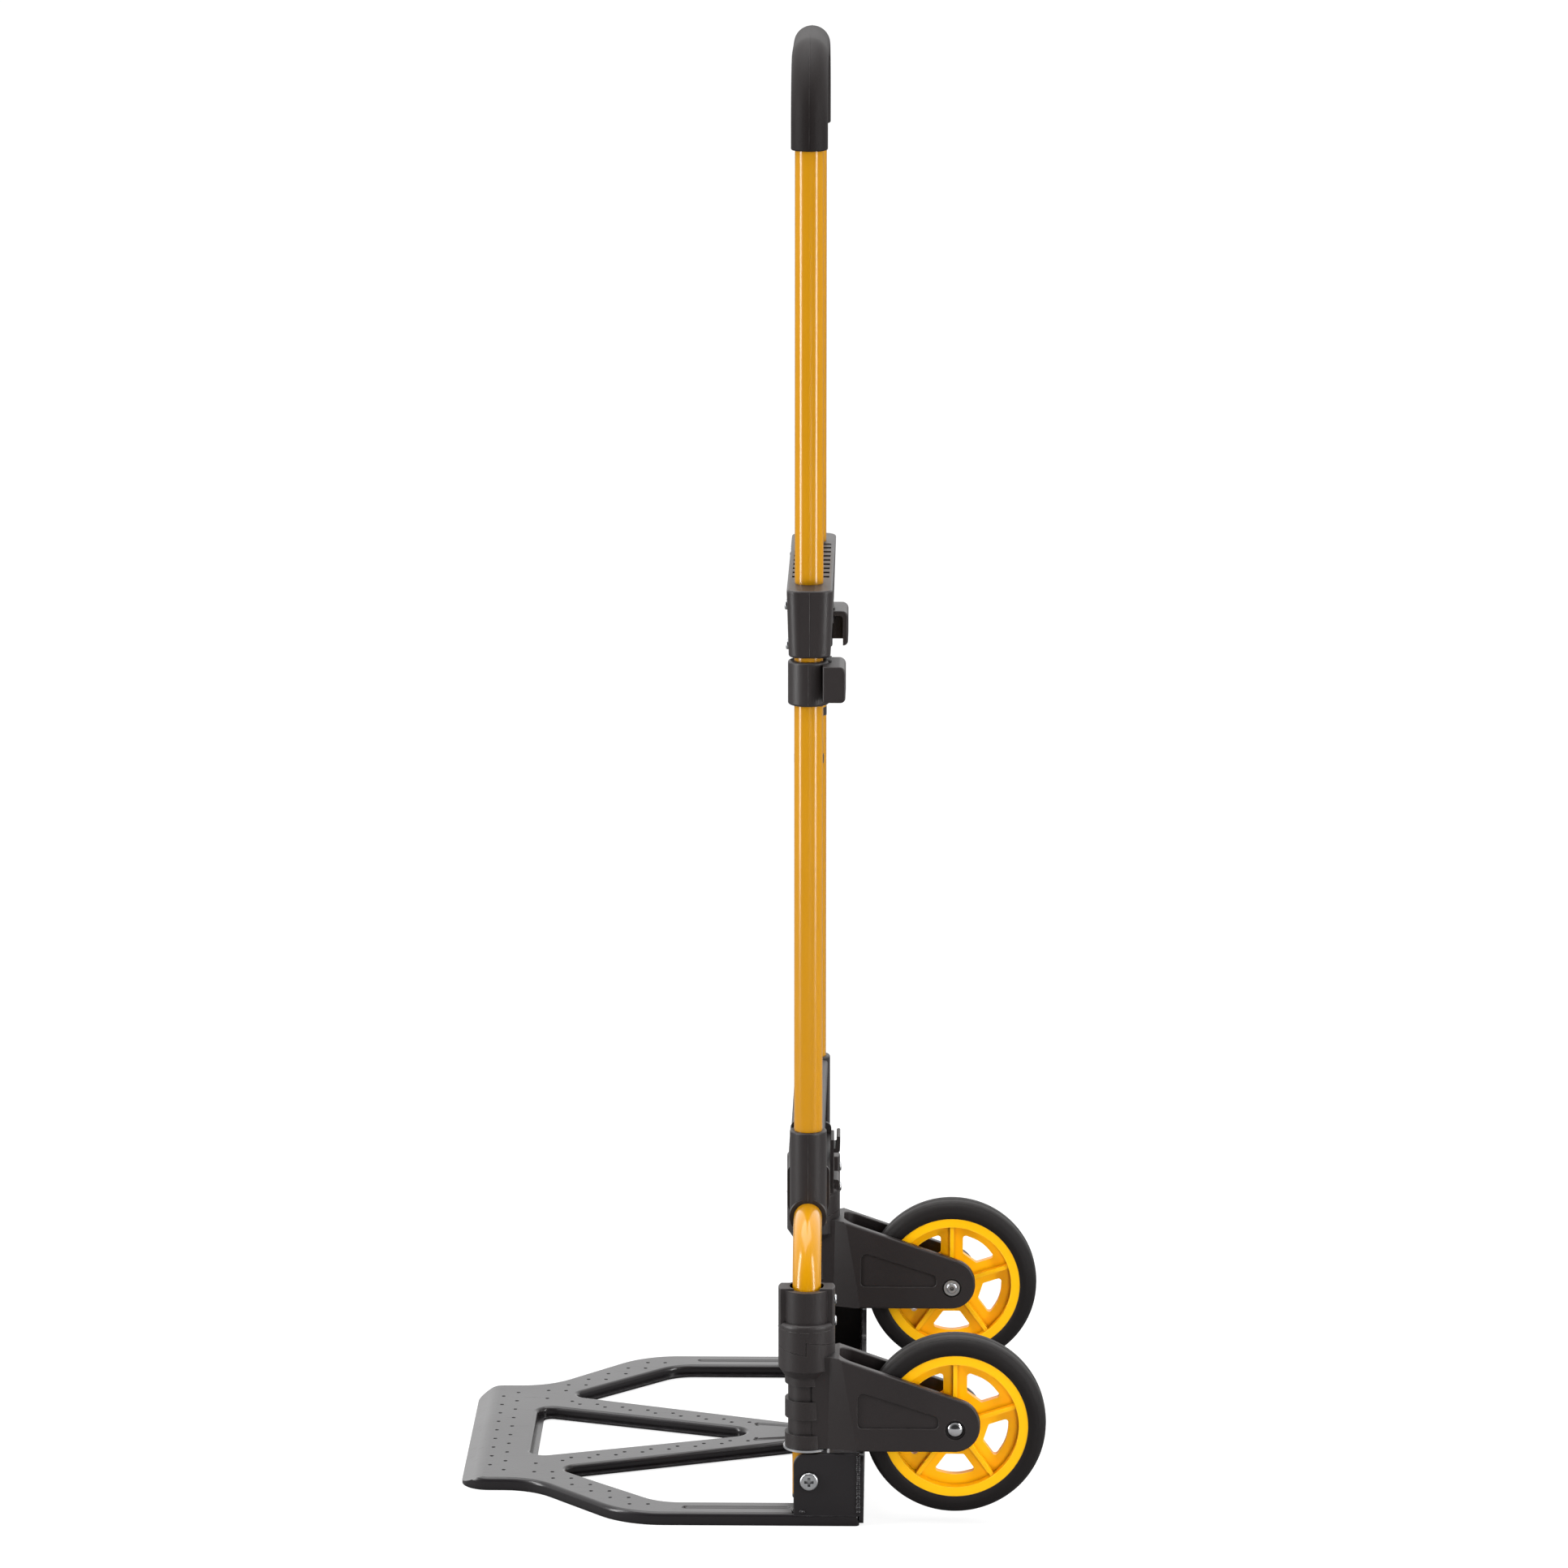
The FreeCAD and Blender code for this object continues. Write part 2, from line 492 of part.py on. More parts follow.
# ---- yoke, washer and wheel ---------------------------------------------------------------------
def yoke():
    """Swinging fork that carries the wheel, built round the leg axis with the arm along +X."""
    hub = cylinder(COLLAR_R, HUB_BOTTOM_Z + 6, CAM_LOW_Z + CAM_RISE + 1, 0, 0)
    teeth_a, teeth_b = cam_teeth(HUB_BOTTOM_Z)
    hub = hub.common(teeth_a.fuse(teeth_b))
    taper = Part.makeCone(RING_R + 0.6, COLLAR_R, 6.0, Vector(0, 0, HUB_BOTTOM_Z), UP)
    hub = hub.fuse(taper)
    sleeve = cylinder(SLEEVE_R, YOKE_BOTTOM_Z, HUB_BOTTOM_Z + 2, 0, 0)
    for low, high in ((YOKE_BOTTOM_Z, 65.5), (77.0, 90.0), (101.5, HUB_BOTTOM_Z + 1)):
        sleeve = sleeve.fuse(cylinder(RING_R, low, high, 0, 0))

    low_z, high_z = YOKE_BOTTOM_Z + 0.8, 131.0
    low = Part.makePolygon([Vector(x, y, low_z) for x, y in (
        (4, -12.5), (15, -13.5), (35.5, -YOKE_HALF), (125, -YOKE_HALF), (125, YOKE_HALF),
        (35.5, YOKE_HALF), (15, 13.5), (4, 12.5), (4, -12.5))])
    high = Part.makePolygon([Vector(x, y, high_z) for x, y in (
        (4, -14.5), (16.5, -16.0), (23.0, -YOKE_HALF), (125, -YOKE_HALF), (125, YOKE_HALF),
        (23.0, YOKE_HALF), (16.5, 16.0), (4, 14.5), (4, -14.5))])
    arm = Part.makeLoft([low, high], True, True)
    ridge_z = YOKE_TIP_TOP_Z + YOKE_SLOPE * (YOKE_TIP_X - 4)
    profile = side_prism([(4, low_z), (YOKE_TIP_X, low_z), (YOKE_TIP_X, YOKE_TIP_TOP_Z),
                          (4, ridge_z)], [0.5, YOKE_TIP_R, YOKE_TIP_R, 0.5], -40, 40)
    arm = arm.common(profile)
    arm = arm.makeFillet(1.5, [edge for edge in arm.Edges if on_outer_face(edge)])
    slot = prism([(SLOT_START, -SLOT_HALF), (160, -SLOT_HALF), (160, SLOT_HALF),
                  (SLOT_START, SLOT_HALF)], [SLOT_CORNER_R, 1, 1, SLOT_CORNER_R], 40, 140)
    arm = arm.cut(slot)
    arm = arm.makeFillet(1.0, [edge for edge in arm.Edges if on_slot_rim(edge)])
    for side in (-1, 1):
        panel = side_prism([(35.8, 73.3), (92.0, 73.3), (92.0, 81.5), (35.8, 99.8)],
                           [3, 3, 4.5, 4], -PANEL_DEPTH, PANEL_DEPTH)
        panel.translate(Vector(0, side * YOKE_HALF, 0))
        arm = arm.cut(panel)
        seat = Part.makeCylinder(SEAT_R, 3.0, Vector(AXLE_DX, side * YOKE_HALF, AXLE_Z), ACROSS * side)
        seat.translate(ACROSS * (-SEAT_DEPTH * side))
        arm = arm.cut(seat)
    arm = arm.makeFillet(0.6, [edge for edge in arm.Edges if on_panel_rim(edge)])
    arm = arm.common(box(-50, 150, -50, 50, 0, YOKE_TOP_Z))
    body = sleeve.fuse(arm).fuse(hub)
    body = body.cut(cylinder(LINER_R + 0.3, LINER_BOTTOM_Z - 0.4, 160, 0, 0))
    body = body.cut(cylinder(TUBE_R + RUNNING_GAP, 40, 160, 0, 0))
    body = body.cut(Part.makeCylinder(AXLE_R, 60, Vector(AXLE_DX, -30, AXLE_Z), ACROSS))
    body.translate(Vector(LEG_X, LEG_Y, 0))
    return body


def on_panel_rim(edge):
    """True for the rim of the shallow panel in each outer face of the fork."""
    span = edge.BoundBox
    beside = span.YMin > YOKE_HALF - 0.01 or span.YMax < -YOKE_HALF + 0.01
    return beside and span.XMin > 35.0 and span.XMax < 93.0 and span.ZMin > 73.0


def on_outer_face(edge):
    """True for the outline of the fork's two outer faces, behind the hub."""
    span = edge.BoundBox
    beside = span.YMin > YOKE_HALF - 0.01 or span.YMax < -YOKE_HALF + 0.01
    return beside and span.XMax > 24.0


def on_slot_rim(edge):
    """True for the rim of the slot that the wheel runs in."""
    span = edge.BoundBox
    inside = span.YMax <= SLOT_HALF + 0.01 and span.YMin >= -SLOT_HALF - 0.01
    return inside and span.XMin > SLOT_START - 0.1 and span.ZLength < 60


def thrust_washer():
    low = YOKE_BOTTOM_Z - WASHER_T - 0.1
    disc = cylinder(WASHER_R, low, low + WASHER_T, LEG_X, LEG_Y)
    return disc.cut(cylinder(TUBE_R + RUNNING_GAP, low - 1, low + 3, LEG_X, LEG_Y))


def axle_bolt():
    """Barrel bolt with a domed head on the outer side of the fork."""
    outer_face = LEG_Y + YOKE_HALF - SEAT_DEPTH
    length = 2 * (YOKE_HALF - SEAT_DEPTH)
    shank = Part.makeCylinder(AXLE_R, length, Vector(0, outer_face, 0), Vector(0, -1, 0))
    dome_r, dome_t = 5.8, 2.6
    sphere_r = (dome_r ** 2 + dome_t ** 2) / (2 * dome_t)
    dome = Part.makeSphere(sphere_r, Vector(0, outer_face + dome_t - sphere_r, 0))
    dome = dome.common(Part.makeCylinder(dome_r, 5, Vector(0, outer_face, 0), ACROSS))
    thread = Part.makeCylinder(AXLE_SCREW_R, 14, Vector(0, outer_face - length - 1, 0), ACROSS)
    bolt = shank.fuse(dome).cut(thread)
    bolt.translate(Vector(LEG_X + AXLE_DX, 0, AXLE_Z))
    return bolt


def axle_washer():
    washer = Part.makeCylinder(5.9, AXLE_WASHER_T)
    washer = washer.cut(Part.makeCylinder(AXLE_SCREW_R, 4, Vector(0, 0, -1), UP))
    washer.rotate(ORIGIN, BACK, 90)
    washer.translate(Vector(LEG_X + AXLE_DX, LEG_Y - YOKE_HALF + SEAT_DEPTH, AXLE_Z))
    return washer


def axle_screw():
    """Button-head socket screw that closes the barrel bolt on the inner side of the fork."""
    head = Part.makeCone(3.9, 3.0, 1.8)
    head = head.cut(hex_prism(3.0, 4.0).translated(Vector(0, 0, 0.5)))
    screw = head.fuse(Part.makeCylinder(AXLE_SCREW_R, 10, Vector(0, 0, 0), Vector(0, 0, -1)))
    screw.rotate(ORIGIN, BACK, 90)
    screw.translate(Vector(LEG_X + AXLE_DX, LEG_Y - YOKE_HALF + SEAT_DEPTH - AXLE_WASHER_T, AXLE_Z))
    return screw


def revolved(points):
    """Profile of (radius, offset) pairs turned about the wheel's axis (+Y)."""
    corners = [Vector(radius, offset, 0) for radius, offset in points]
    face = Part.Face(Part.makePolygon(corners + corners[:1]))
    return face.revolve(ORIGIN, ACROSS, 360)


def wheel_hub():
    half = RIM_HALF
    rim = revolved([(RIM_IN_R, -half), (RIM_R, -half), (RIM_R, -half + 1.8), (BED_R, -half + 2.6),
                    (BED_R, half - 2.6), (RIM_R, half - 1.8), (RIM_R, half), (RIM_IN_R, half)])
    web = revolved([(8.0, -3.0), (RIM_IN_R + 0.5, -3.0), (RIM_IN_R + 0.5, 3.0), (8.0, 3.0)])
    window = window_cutter()
    for k in range(SPOKES):
        cutter = window.copy()
        cutter.rotate(ORIGIN, ACROSS, k * 360.0 / SPOKES)
        web = web.cut(cutter)
    boss = revolved([(BUSH_R, -BUSH_HALF), (12.5, -BUSH_HALF), (13.5, 1 - BUSH_HALF),
                     (15.0, -3.0), (15.0, 3.0), (13.5, BUSH_HALF - 1), (12.5, BUSH_HALF),
                     (BUSH_R, BUSH_HALF)])
    hub = rim.fuse(web).fuse(boss)
    for k in range(SPOKES):
        rib = box(12.0, RIM_IN_R + 1.0, -9.5, 9.5, -1.4, 1.4)
        rib = rib.cut(Part.makeCylinder(12.0, 40, Vector(0, -20, 0), ACROSS))
        rib.rotate(ORIGIN, ACROSS, -90 + k * 360.0 / SPOKES)
        hub = hub.fuse(rib)
    hub = hub.cut(Part.makeCylinder(BUSH_R, 40, Vector(0, -20, 0), ACROSS))
    hub.translate(Vector(LEG_X + AXLE_DX, LEG_Y, AXLE_Z))
    return hub


def window_cutter():
    """Rounded window between the two lowest spokes."""
    inner_r, outer_r = WINDOW_IN_R, WINDOW_OUT_R
    half_pitch = math.pi / SPOKES
    inner_a = half_pitch - math.asin(SPOKE_HALF / inner_r)
    outer_a = half_pitch - math.asin(SPOKE_HALF / outer_r)
    points = [(inner_r * math.cos(-inner_a), inner_r * math.sin(-inner_a)),
              (outer_r * math.cos(-outer_a), outer_r * math.sin(-outer_a)),
              (outer_r * 1.0286, 0.0),
              (outer_r * math.cos(outer_a), outer_r * math.sin(outer_a)),
              (inner_r * math.cos(inner_a), inner_r * math.sin(inner_a))]
    cutter = prism(points, [1.8, 2.2, 30.0, 2.2, 1.8], -10, 10)
    cutter.rotate(ORIGIN, BACK, 90)
    cutter.rotate(ORIGIN, ACROSS, 90)
    return cutter


def tyre():
    half = TYRE_HALF
    profile = Part.Wire([
        Part.makeLine(Vector(BED_R, -8.9, 0), Vector(RIM_R, -9.7, 0)),
        Part.makeLine(Vector(RIM_R, -9.7, 0), Vector(RIM_R, -11.8, 0)),
        Part.Arc(Vector(RIM_R, -11.8, 0), Vector(54.0, -half, 0), Vector(57.5, -12.4, 0)).toShape(),
        Part.Arc(Vector(57.5, -12.4, 0), Vector(62.0, -9.4, 0), Vector(WHEEL_R, -4.5, 0)).toShape(),
        Part.makeLine(Vector(WHEEL_R, -4.5, 0), Vector(WHEEL_R, 4.5, 0)),
        Part.Arc(Vector(WHEEL_R, 4.5, 0), Vector(62.0, 9.4, 0), Vector(57.5, 12.4, 0)).toShape(),
        Part.Arc(Vector(57.5, 12.4, 0), Vector(54.0, half, 0), Vector(RIM_R, 11.8, 0)).toShape(),
        Part.makeLine(Vector(RIM_R, 11.8, 0), Vector(RIM_R, 9.7, 0)),
        Part.makeLine(Vector(RIM_R, 9.7, 0), Vector(BED_R, 8.9, 0)),
        Part.makeLine(Vector(BED_R, 8.9, 0), Vector(BED_R, -8.9, 0))])
    ring = Part.Face(profile).revolve(ORIGIN, ACROSS, 360)
    ring.translate(Vector(LEG_X + AXLE_DX, LEG_Y, AXLE_Z))
    return ring


def wheel_bush():
    half = BUSH_HALF + 1.0
    bush = Part.makeCylinder(BUSH_R, 2 * BUSH_HALF, Vector(0, -BUSH_HALF, 0), ACROSS)
    bush = bush.fuse(Part.makeCylinder(6.0, 2 * half, Vector(0, -half, 0), ACROSS))
    bush = bush.cut(Part.makeCylinder(AXLE_R + RUNNING_GAP, 40, Vector(0, -20, 0), ACROSS))
    bush.translate(Vector(LEG_X + AXLE_DX, LEG_Y, AXLE_Z))
    return bush


# ---- toe plate ---------------------------------------------------------------------------------
def offset_points(points, distance):
    """Moves every side of a closed outline inward by the distance (outward if negative)."""
    area = sum(a[0] * b[1] - b[0] * a[1] for a, b in zip(points, points[1:] + points[:1]))
    turn = 1.0 if area > 0 else -1.0
    moved = []
    for index, point in enumerate(points):
        lines = []
        for a, b in ((points[index - 1], point), (point, points[(index + 1) % len(points)])):
            length = math.hypot(b[0] - a[0], b[1] - a[1])
            normal = (-(b[1] - a[1]) / length * turn, (b[0] - a[0]) / length * turn)
            lines.append((normal, normal[0] * a[0] + normal[1] * a[1] + distance))
        (n1, c1), (n2, c2) = lines
        cross = n1[0] * n2[1] - n2[0] * n1[1]
        moved.append(((c1 * n2[1] - c2 * n1[1]) / cross, (n1[0] * c2 - n2[0] * c1) / cross))
    return moved


def mirror_points(points):
    return [(x, -y) for x, y in reversed(points)]


def plate_outline(inset):
    outline = HALF_OUTLINE + mirror_points(HALF_OUTLINE)
    radii = HALF_OUTLINE_R + HALF_OUTLINE_R[::-1]
    turns = [1, 1, -1, 1, 1, -1, 1, 1]
    return offset_points(outline, inset), [r - turn * inset for r, turn in zip(radii, turns)]


def plate_holes(grow):
    """The three openings, each side moved outward by grow."""
    holes = [(MIDDLE_HOLE, MIDDLE_HOLE_R), (SIDE_HOLE, SIDE_HOLE_R),
             (mirror_points(SIDE_HOLE), SIDE_HOLE_R[::-1])]
    return [(offset_points(points, -grow), [max(r + grow, 0.6) for r in radii])
            for points, radii in holes]


def dimple_rows():
    """Centres of the pressed dimples on the upper face, for the right half and the middle."""
    rows = []
    for count, x, first_y in ((9, -188.0, -83.0), (10, -177.5, -94.5)):
        rows += [(x, first_y + k * 20.9) for k in range(count)]
    for k in range(9):
        step = 18.85
        rows += [(-165.0 + 9.6 + k * step, 79.2 - k * step * 0.375)]
        rows += [(-165.0 + 15.5 + k * step, 71.0 - 0.375 * (k * step - 3.0))] if k else []
    for k in range(6):
        rows += [(-155.5 + k * 14.2, 99.0 + k * 14.6), (-142.5 + k * 14.2, 99.0 + k * 14.6)]
    return rows


def toe_plate():
    outline, radii = plate_outline(0.0)
    body = prism(outline, radii, 0.0, PLATE_Z)
    for points, hole_radii in plate_holes(0.0):
        body = body.cut(prism(points, hole_radii, -1.0, PLATE_Z + 1.0))
    rear_edge = PLATE_REAR_X - 0.01
    top_edges = [edge for edge in body.Edges if edge.BoundBox.ZMin > PLATE_Z - 0.01
                 and edge.BoundBox.XMin < rear_edge]
    body = body.makeFillet(3.2, top_edges)
    roll = side_prism([(-215, 1.2), (-209, 1.2), (-195, PLATE_Z), (-178, PLATE_Z + 0.05),
                       (-178, 20), (-215, 20)], [0.5, 0.5, 16.0, 1, 1, 1], -130, 130)
    body = body.cut(roll)
    cavity_outline, cavity_radii = plate_outline(PLATE_T)
    cavity = prism(cavity_outline, cavity_radii, -1.0, PLATE_Z - PLATE_T)
    cavity = cavity.cut(box(-220, -190, -200, 200, -2, 20))
    for points, hole_radii in plate_holes(PLATE_T):
        cavity = cavity.cut(prism(points, hole_radii, -2.0, PLATE_Z))
    body = body.cut(cavity)
    for (points, hole_radii), (lip_points, lip_radii) in zip(plate_holes(0.5), plate_holes(-LIP)):
        lip = prism(points, hole_radii, 1.0, 1.0 + PLATE_T * 0.8)
        body = body.fuse(lip.cut(prism(lip_points, lip_radii, 0.0, 5.0)))
    marks = []
    for x, y in dimple_rows():
        sides = (1,) if x < -176 else (1, -1)
        marks += [Part.makeCone(0.5, 1.7, 1.3, Vector(x, side * y, PLATE_Z - 1.2), UP)
                  for side in sides]
    for side in (1, -1):
        marks.append(groove((-44.0, side * 178.5), (26.0, side * 178.5), 3.6))
        marks.append(groove((2.0, side * 19.0), (56.0, side * 8.0), 3.0))
    return body.cut(Part.makeCompound(marks))


def groove(start, end, half_width):
    """Shallow pressed groove with round ends in the upper face."""
    axis = Vector(end[0] - start[0], end[1] - start[1], 0)
    bar_r = half_width * 1.6
    sink = math.sqrt(bar_r ** 2 - half_width ** 2)
    centre = Vector(start[0], start[1], PLATE_Z + sink)
    rod = Part.makeCylinder(bar_r, axis.Length, centre, axis)
    return rod.fuse(Part.makeSphere(bar_r, centre)).fuse(Part.makeSphere(bar_r, centre + axis))


def toe_ear(plate):
    """Side plate of the hinge bracket, welded on top of the toe plate's rail."""
    front, rear, low = EAR_FRONT_X, PLATE_REAR_X, PLATE_Z - PLATE_T
    ear = side_prism([(front, low), (rear, low), (rear, EAR_TOP_Z), (front, EAR_TOP_Z)],
                     [0.6, 0.6, 0.6, EAR_CORNER_R], PLATE_HALF_Y - EAR_T, PLATE_HALF_Y)
    ear = ear.makeFillet(0.7, [edge for edge in ear.Edges if edge.BoundBox.ZMax > 20
                               and edge.BoundBox.YMin > PLATE_HALF_Y - 0.01])
    ear = ear.cut(plate)
    hole = Part.makeCylinder(HINGE_R, 20, Vector(HINGE_X, PLATE_HALF_Y - 10, HINGE_Z), ACROSS)
    return ear.cut(hole)


def rear_wall():
    """Upturned rear plate that joins both ears, lower between the wheels."""
    high, low = EAR_TOP_Z, WALL_LOW_Z
    half = PLATE_HALF_Y
    outline = [(half, 0.7), (half, high), (half - 20, high), (half - 36, low),
               (-half + 36, low), (-half + 20, high), (-half, high), (-half, 0.7)]
    wire = rounded_wire(outline, [6, 6, 4, 8, 8, 4, 6, 6])
    wall = Part.Face(wire).extrude(Vector(0, 0, EAR_T))
    wall.rotate(ORIGIN, BACK, 90)
    wall.rotate(ORIGIN, UP, 90)
    wall.translate(Vector(PLATE_REAR_X, 0, 0))
    return wall


def hinge_screw():
    screw = pan_screw(6.5, 2.6, HINGE_R, 32.0)
    screw.rotate(ORIGIN, BACK, -90)
    screw.translate(Vector(HINGE_X, PLATE_HALF_Y, HINGE_Z))
    return screw


def hinge_nut():
    nut = hex_prism(8.0, 4.0).cut(Part.makeCylinder(HINGE_R, 10, Vector(0, 0, -2), UP))
    nut.rotate(ORIGIN, BACK, 90)
    nut.translate(Vector(HINGE_X, LEG_Y - TUBE_R - 0.6, HINGE_Z))
    return nut


# ---- everything ----------------------------------------------------------------------------------
def main():
    os.makedirs("parts", exist_ok=True)
    save("lower_frame", lower_frame())
    save_pair("upright", upright())
    save_pair("saddle", saddle())
    save("cross_member", cross_member())
    save("cord_hook", cord_hook())
    save("cross_block", cross_block())
    for label, screw_z in zip(("lower", "upper"), BLOCK_SCREWS_Z):
        save_pair("block_screw_" + label, block_screw(screw_z))
    save_pair("cam_collar", cam_collar())
    for label, screw_z in zip(("lower", "upper"), COLLAR_SCREWS_Z):
        save_pair("collar_screw_" + label, collar_screw(screw_z))
    save_pair("leg_plug", leg_plug())

    save("handle_tube", handle_tube())
    save("handle_grip", handle_grip())
    save_pair("handle_foot", handle_foot())
    save_pair("release_collar", release_collar())
    save_pair("release_pin", release_pin())

    save_pair("thrust_washer", thrust_washer())
    save_pair("yoke", yoke())
    save_pair("axle_bolt", axle_bolt())
    save_pair("axle_washer", axle_washer())
    save_pair("axle_screw", axle_screw())
    save_pair("wheel_hub", wheel_hub())
    save_pair("tyre", tyre())
    save_pair("wheel_bush", wheel_bush())

    plate = toe_plate()
    save("toe_plate", plate)
    save_pair("toe_ear", toe_ear(plate))
    save("rear_wall", rear_wall())
    save_pair("hinge_screw", hinge_screw())
    save_pair("hinge_nut", hinge_nut())


main()
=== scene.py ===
# %% [markdown]
# # A folding hand truck, finished in Blender
# The truck has two yellow tubes, a U handle that slides in them, a pressed black toe plate,
# and two wheels on swinging forks. Its shapes were drawn in CAD and arrive here as a fixed
# frame. This lesson gives each part its finish and adds the small things that a drawing
# leaves out: mould seams, weld beads and the lines on a moulded tyre.

# %% Load the fixed frame
import json
import math

import bpy
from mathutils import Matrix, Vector
from mathutils.bvhtree import BVHTree


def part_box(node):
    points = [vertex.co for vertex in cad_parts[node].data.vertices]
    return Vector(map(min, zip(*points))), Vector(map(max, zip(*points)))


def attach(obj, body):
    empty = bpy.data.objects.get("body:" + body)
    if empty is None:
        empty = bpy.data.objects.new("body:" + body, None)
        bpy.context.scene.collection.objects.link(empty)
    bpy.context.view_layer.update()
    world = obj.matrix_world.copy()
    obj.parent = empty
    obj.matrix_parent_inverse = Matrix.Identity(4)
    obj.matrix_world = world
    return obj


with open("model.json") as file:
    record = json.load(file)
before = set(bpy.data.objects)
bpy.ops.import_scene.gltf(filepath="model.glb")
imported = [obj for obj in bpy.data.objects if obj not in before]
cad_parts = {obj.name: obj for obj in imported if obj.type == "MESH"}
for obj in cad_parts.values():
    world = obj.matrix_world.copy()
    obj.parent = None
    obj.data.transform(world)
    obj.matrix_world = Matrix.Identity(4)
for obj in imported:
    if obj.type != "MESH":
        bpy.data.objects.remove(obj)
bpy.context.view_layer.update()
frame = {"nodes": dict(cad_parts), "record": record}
nodes = frame["nodes"]

# %% [markdown]
# The drawing says which finish each part has, by a slot name such as yellow_paint. Keeping
# that table means that one material serves every part of its kind, the way one paint line
# or one moulding machine makes them on the real truck.

# %% Which finish each part has
finish_of = {row["node"]: row["material_slot"] for row in frame["record"]["subparts"]}
by_finish = {}
for part, finish in finish_of.items():
    by_finish.setdefault(finish, []).append(part)
for finish in sorted(by_finish):
    print(finish, len(by_finish[finish]))

# %% [markdown]
# The camera stands level with the side of the truck, well back, with a long lens. A long
# lens keeps upright tubes straight and parallel, which is why catalogues use one. It looks
# down by about twelve degrees, so the top of the toe plate shows.

# %% Camera
CAMERA_PLACE = (0.10475, -4.704, 1.474)
CAMERA_TILT = 78.19
CAMERA_TURN = 1.02
LENS_MM, SENSOR_MM = 154.8, 36.0
NEAREST, FARTHEST = 0.05, 200.0

lens = bpy.data.cameras.new("catalogue_lens")
lens.lens, lens.sensor_width = LENS_MM, SENSOR_MM
lens.clip_start, lens.clip_end = NEAREST, FARTHEST
camera = bpy.data.objects.new("catalogue_camera", lens)
camera.location = CAMERA_PLACE
camera.rotation_euler = (math.radians(CAMERA_TILT), 0, math.radians(CAMERA_TURN))
bpy.context.scene.collection.objects.link(camera)
bpy.context.scene.camera = camera
print("camera", tuple(round(v, 3) for v in camera.location))

# %% [markdown]
# The studio is a white room. The floor is one wide sheet of pale paper. It is a little
# brighter to the camera than its light alone makes it, so it reads as clean white while the
# soft contact shadow under the plate stays.

# %% Floor
FLOOR_HALF = 40.0
PAPER_GREY = 0.20
PAPER_GLOW = 0.82      # seen only by the camera


def new_mesh_object(name, points, faces):
    """A mesh made from plain points and faces, in the scene."""
    mesh = bpy.data.meshes.new(name)
    mesh.from_pydata(points, [], faces)
    mesh.validate()
    made = bpy.data.objects.new(name, mesh)
    bpy.context.scene.collection.objects.link(made)
    return made


def join(tree, source, target):
    """Links two sockets; each is (node, socket name or number)."""
    tree.links.new(source[0].outputs[source[1]], target[0].inputs[target[1]])


def add(tree, kind, place=(0, 0), **settings):
    """Adds a node and sets its plain properties."""
    node = tree.nodes.new(kind)
    node.location = place
    for key, value in settings.items():
        setattr(node, key, value)
    return node


floor = new_mesh_object(
    "floor", [(-FLOOR_HALF, -FLOOR_HALF, 0), (FLOOR_HALF, -FLOOR_HALF, 0),
              (FLOOR_HALF, FLOOR_HALF, 0), (-FLOOR_HALF, FLOOR_HALF, 0)], [(0, 1, 2, 3)])
paper = bpy.data.materials.new("white_paper")
paper.use_nodes = True
shade = paper.node_tree.nodes["Principled BSDF"]
shade.inputs["Base Color"].default_value = (PAPER_GREY, PAPER_GREY, PAPER_GREY, 1)
shade.inputs["Roughness"].default_value = 0.85
shade.inputs["Specular IOR Level"].default_value = 0.1
shade.inputs["Emission Color"].default_value = (1, 1, 1, 1)
ray = add(paper.node_tree, "ShaderNodeLightPath", (-500, -200))
glow = add(paper.node_tree, "ShaderNodeMath", (-250, -200), operation="MULTIPLY")
glow.inputs[1].default_value = PAPER_GLOW
join(paper.node_tree, (ray, "Is Camera Ray"), (glow, 0))
join(paper.node_tree, (glow, 0), (shade, "Emission Strength"))
floor.data.materials.append(paper)
print("floor", FLOOR_HALF * 2, "m wide")

# %% [markdown]
# The light comes from all round but is weaker on the camera's own side. A round tube then
# shows a darker middle between two bright upright bands, which is what tells the eye that
# it is round. Two tall strip lamps draw those bands, and one large lamp above lights the
# toe plate. A low lamp at the front lights the wheels. It is left out of reflections, so that
# the black parts beside them stay black.

# %% Soft studio light
FRONT_Y, BACK_Y = -0.75, 0.5            # where the room's light starts and stops rising
FRONT_LIGHT, BACK_LIGHT = 0.035, 1.5
STRIP_HEIGHT = 2.4
BOX_SIDE = 2.4
MIDDLE = (0.03, 0.0, 0.5)
NEAR_WHEEL = (0.14, -0.18, 0.07)


def spread(node, low, high, names=("From Min", "From Max")):
    """Sets the two ends of a Map Range node's span."""
    for name, value in zip(names, (low, high)):
        node.inputs[name].default_value = value


room = bpy.data.worlds.new("white_room")
room.use_nodes = True
bpy.context.scene.world = room
sky = room.node_tree
background = sky.nodes["Background"]
direction = add(sky, "ShaderNodeTexCoord", (-900, 0))
split = add(sky, "ShaderNodeSeparateXYZ", (-700, 0))
depth = add(sky, "ShaderNodeMapRange", (-500, 0))
spread(depth, FRONT_Y, BACK_Y)
spread(depth, FRONT_LIGHT, BACK_LIGHT, ("To Min", "To Max"))
join(sky, (direction, "Generated"), (split, 0))
join(sky, (split, "Y"), (depth, "Value"))
join(sky, (depth, "Result"), (background, "Strength"))
background.inputs["Color"].default_value = (1.0, 1.0, 1.0, 1)


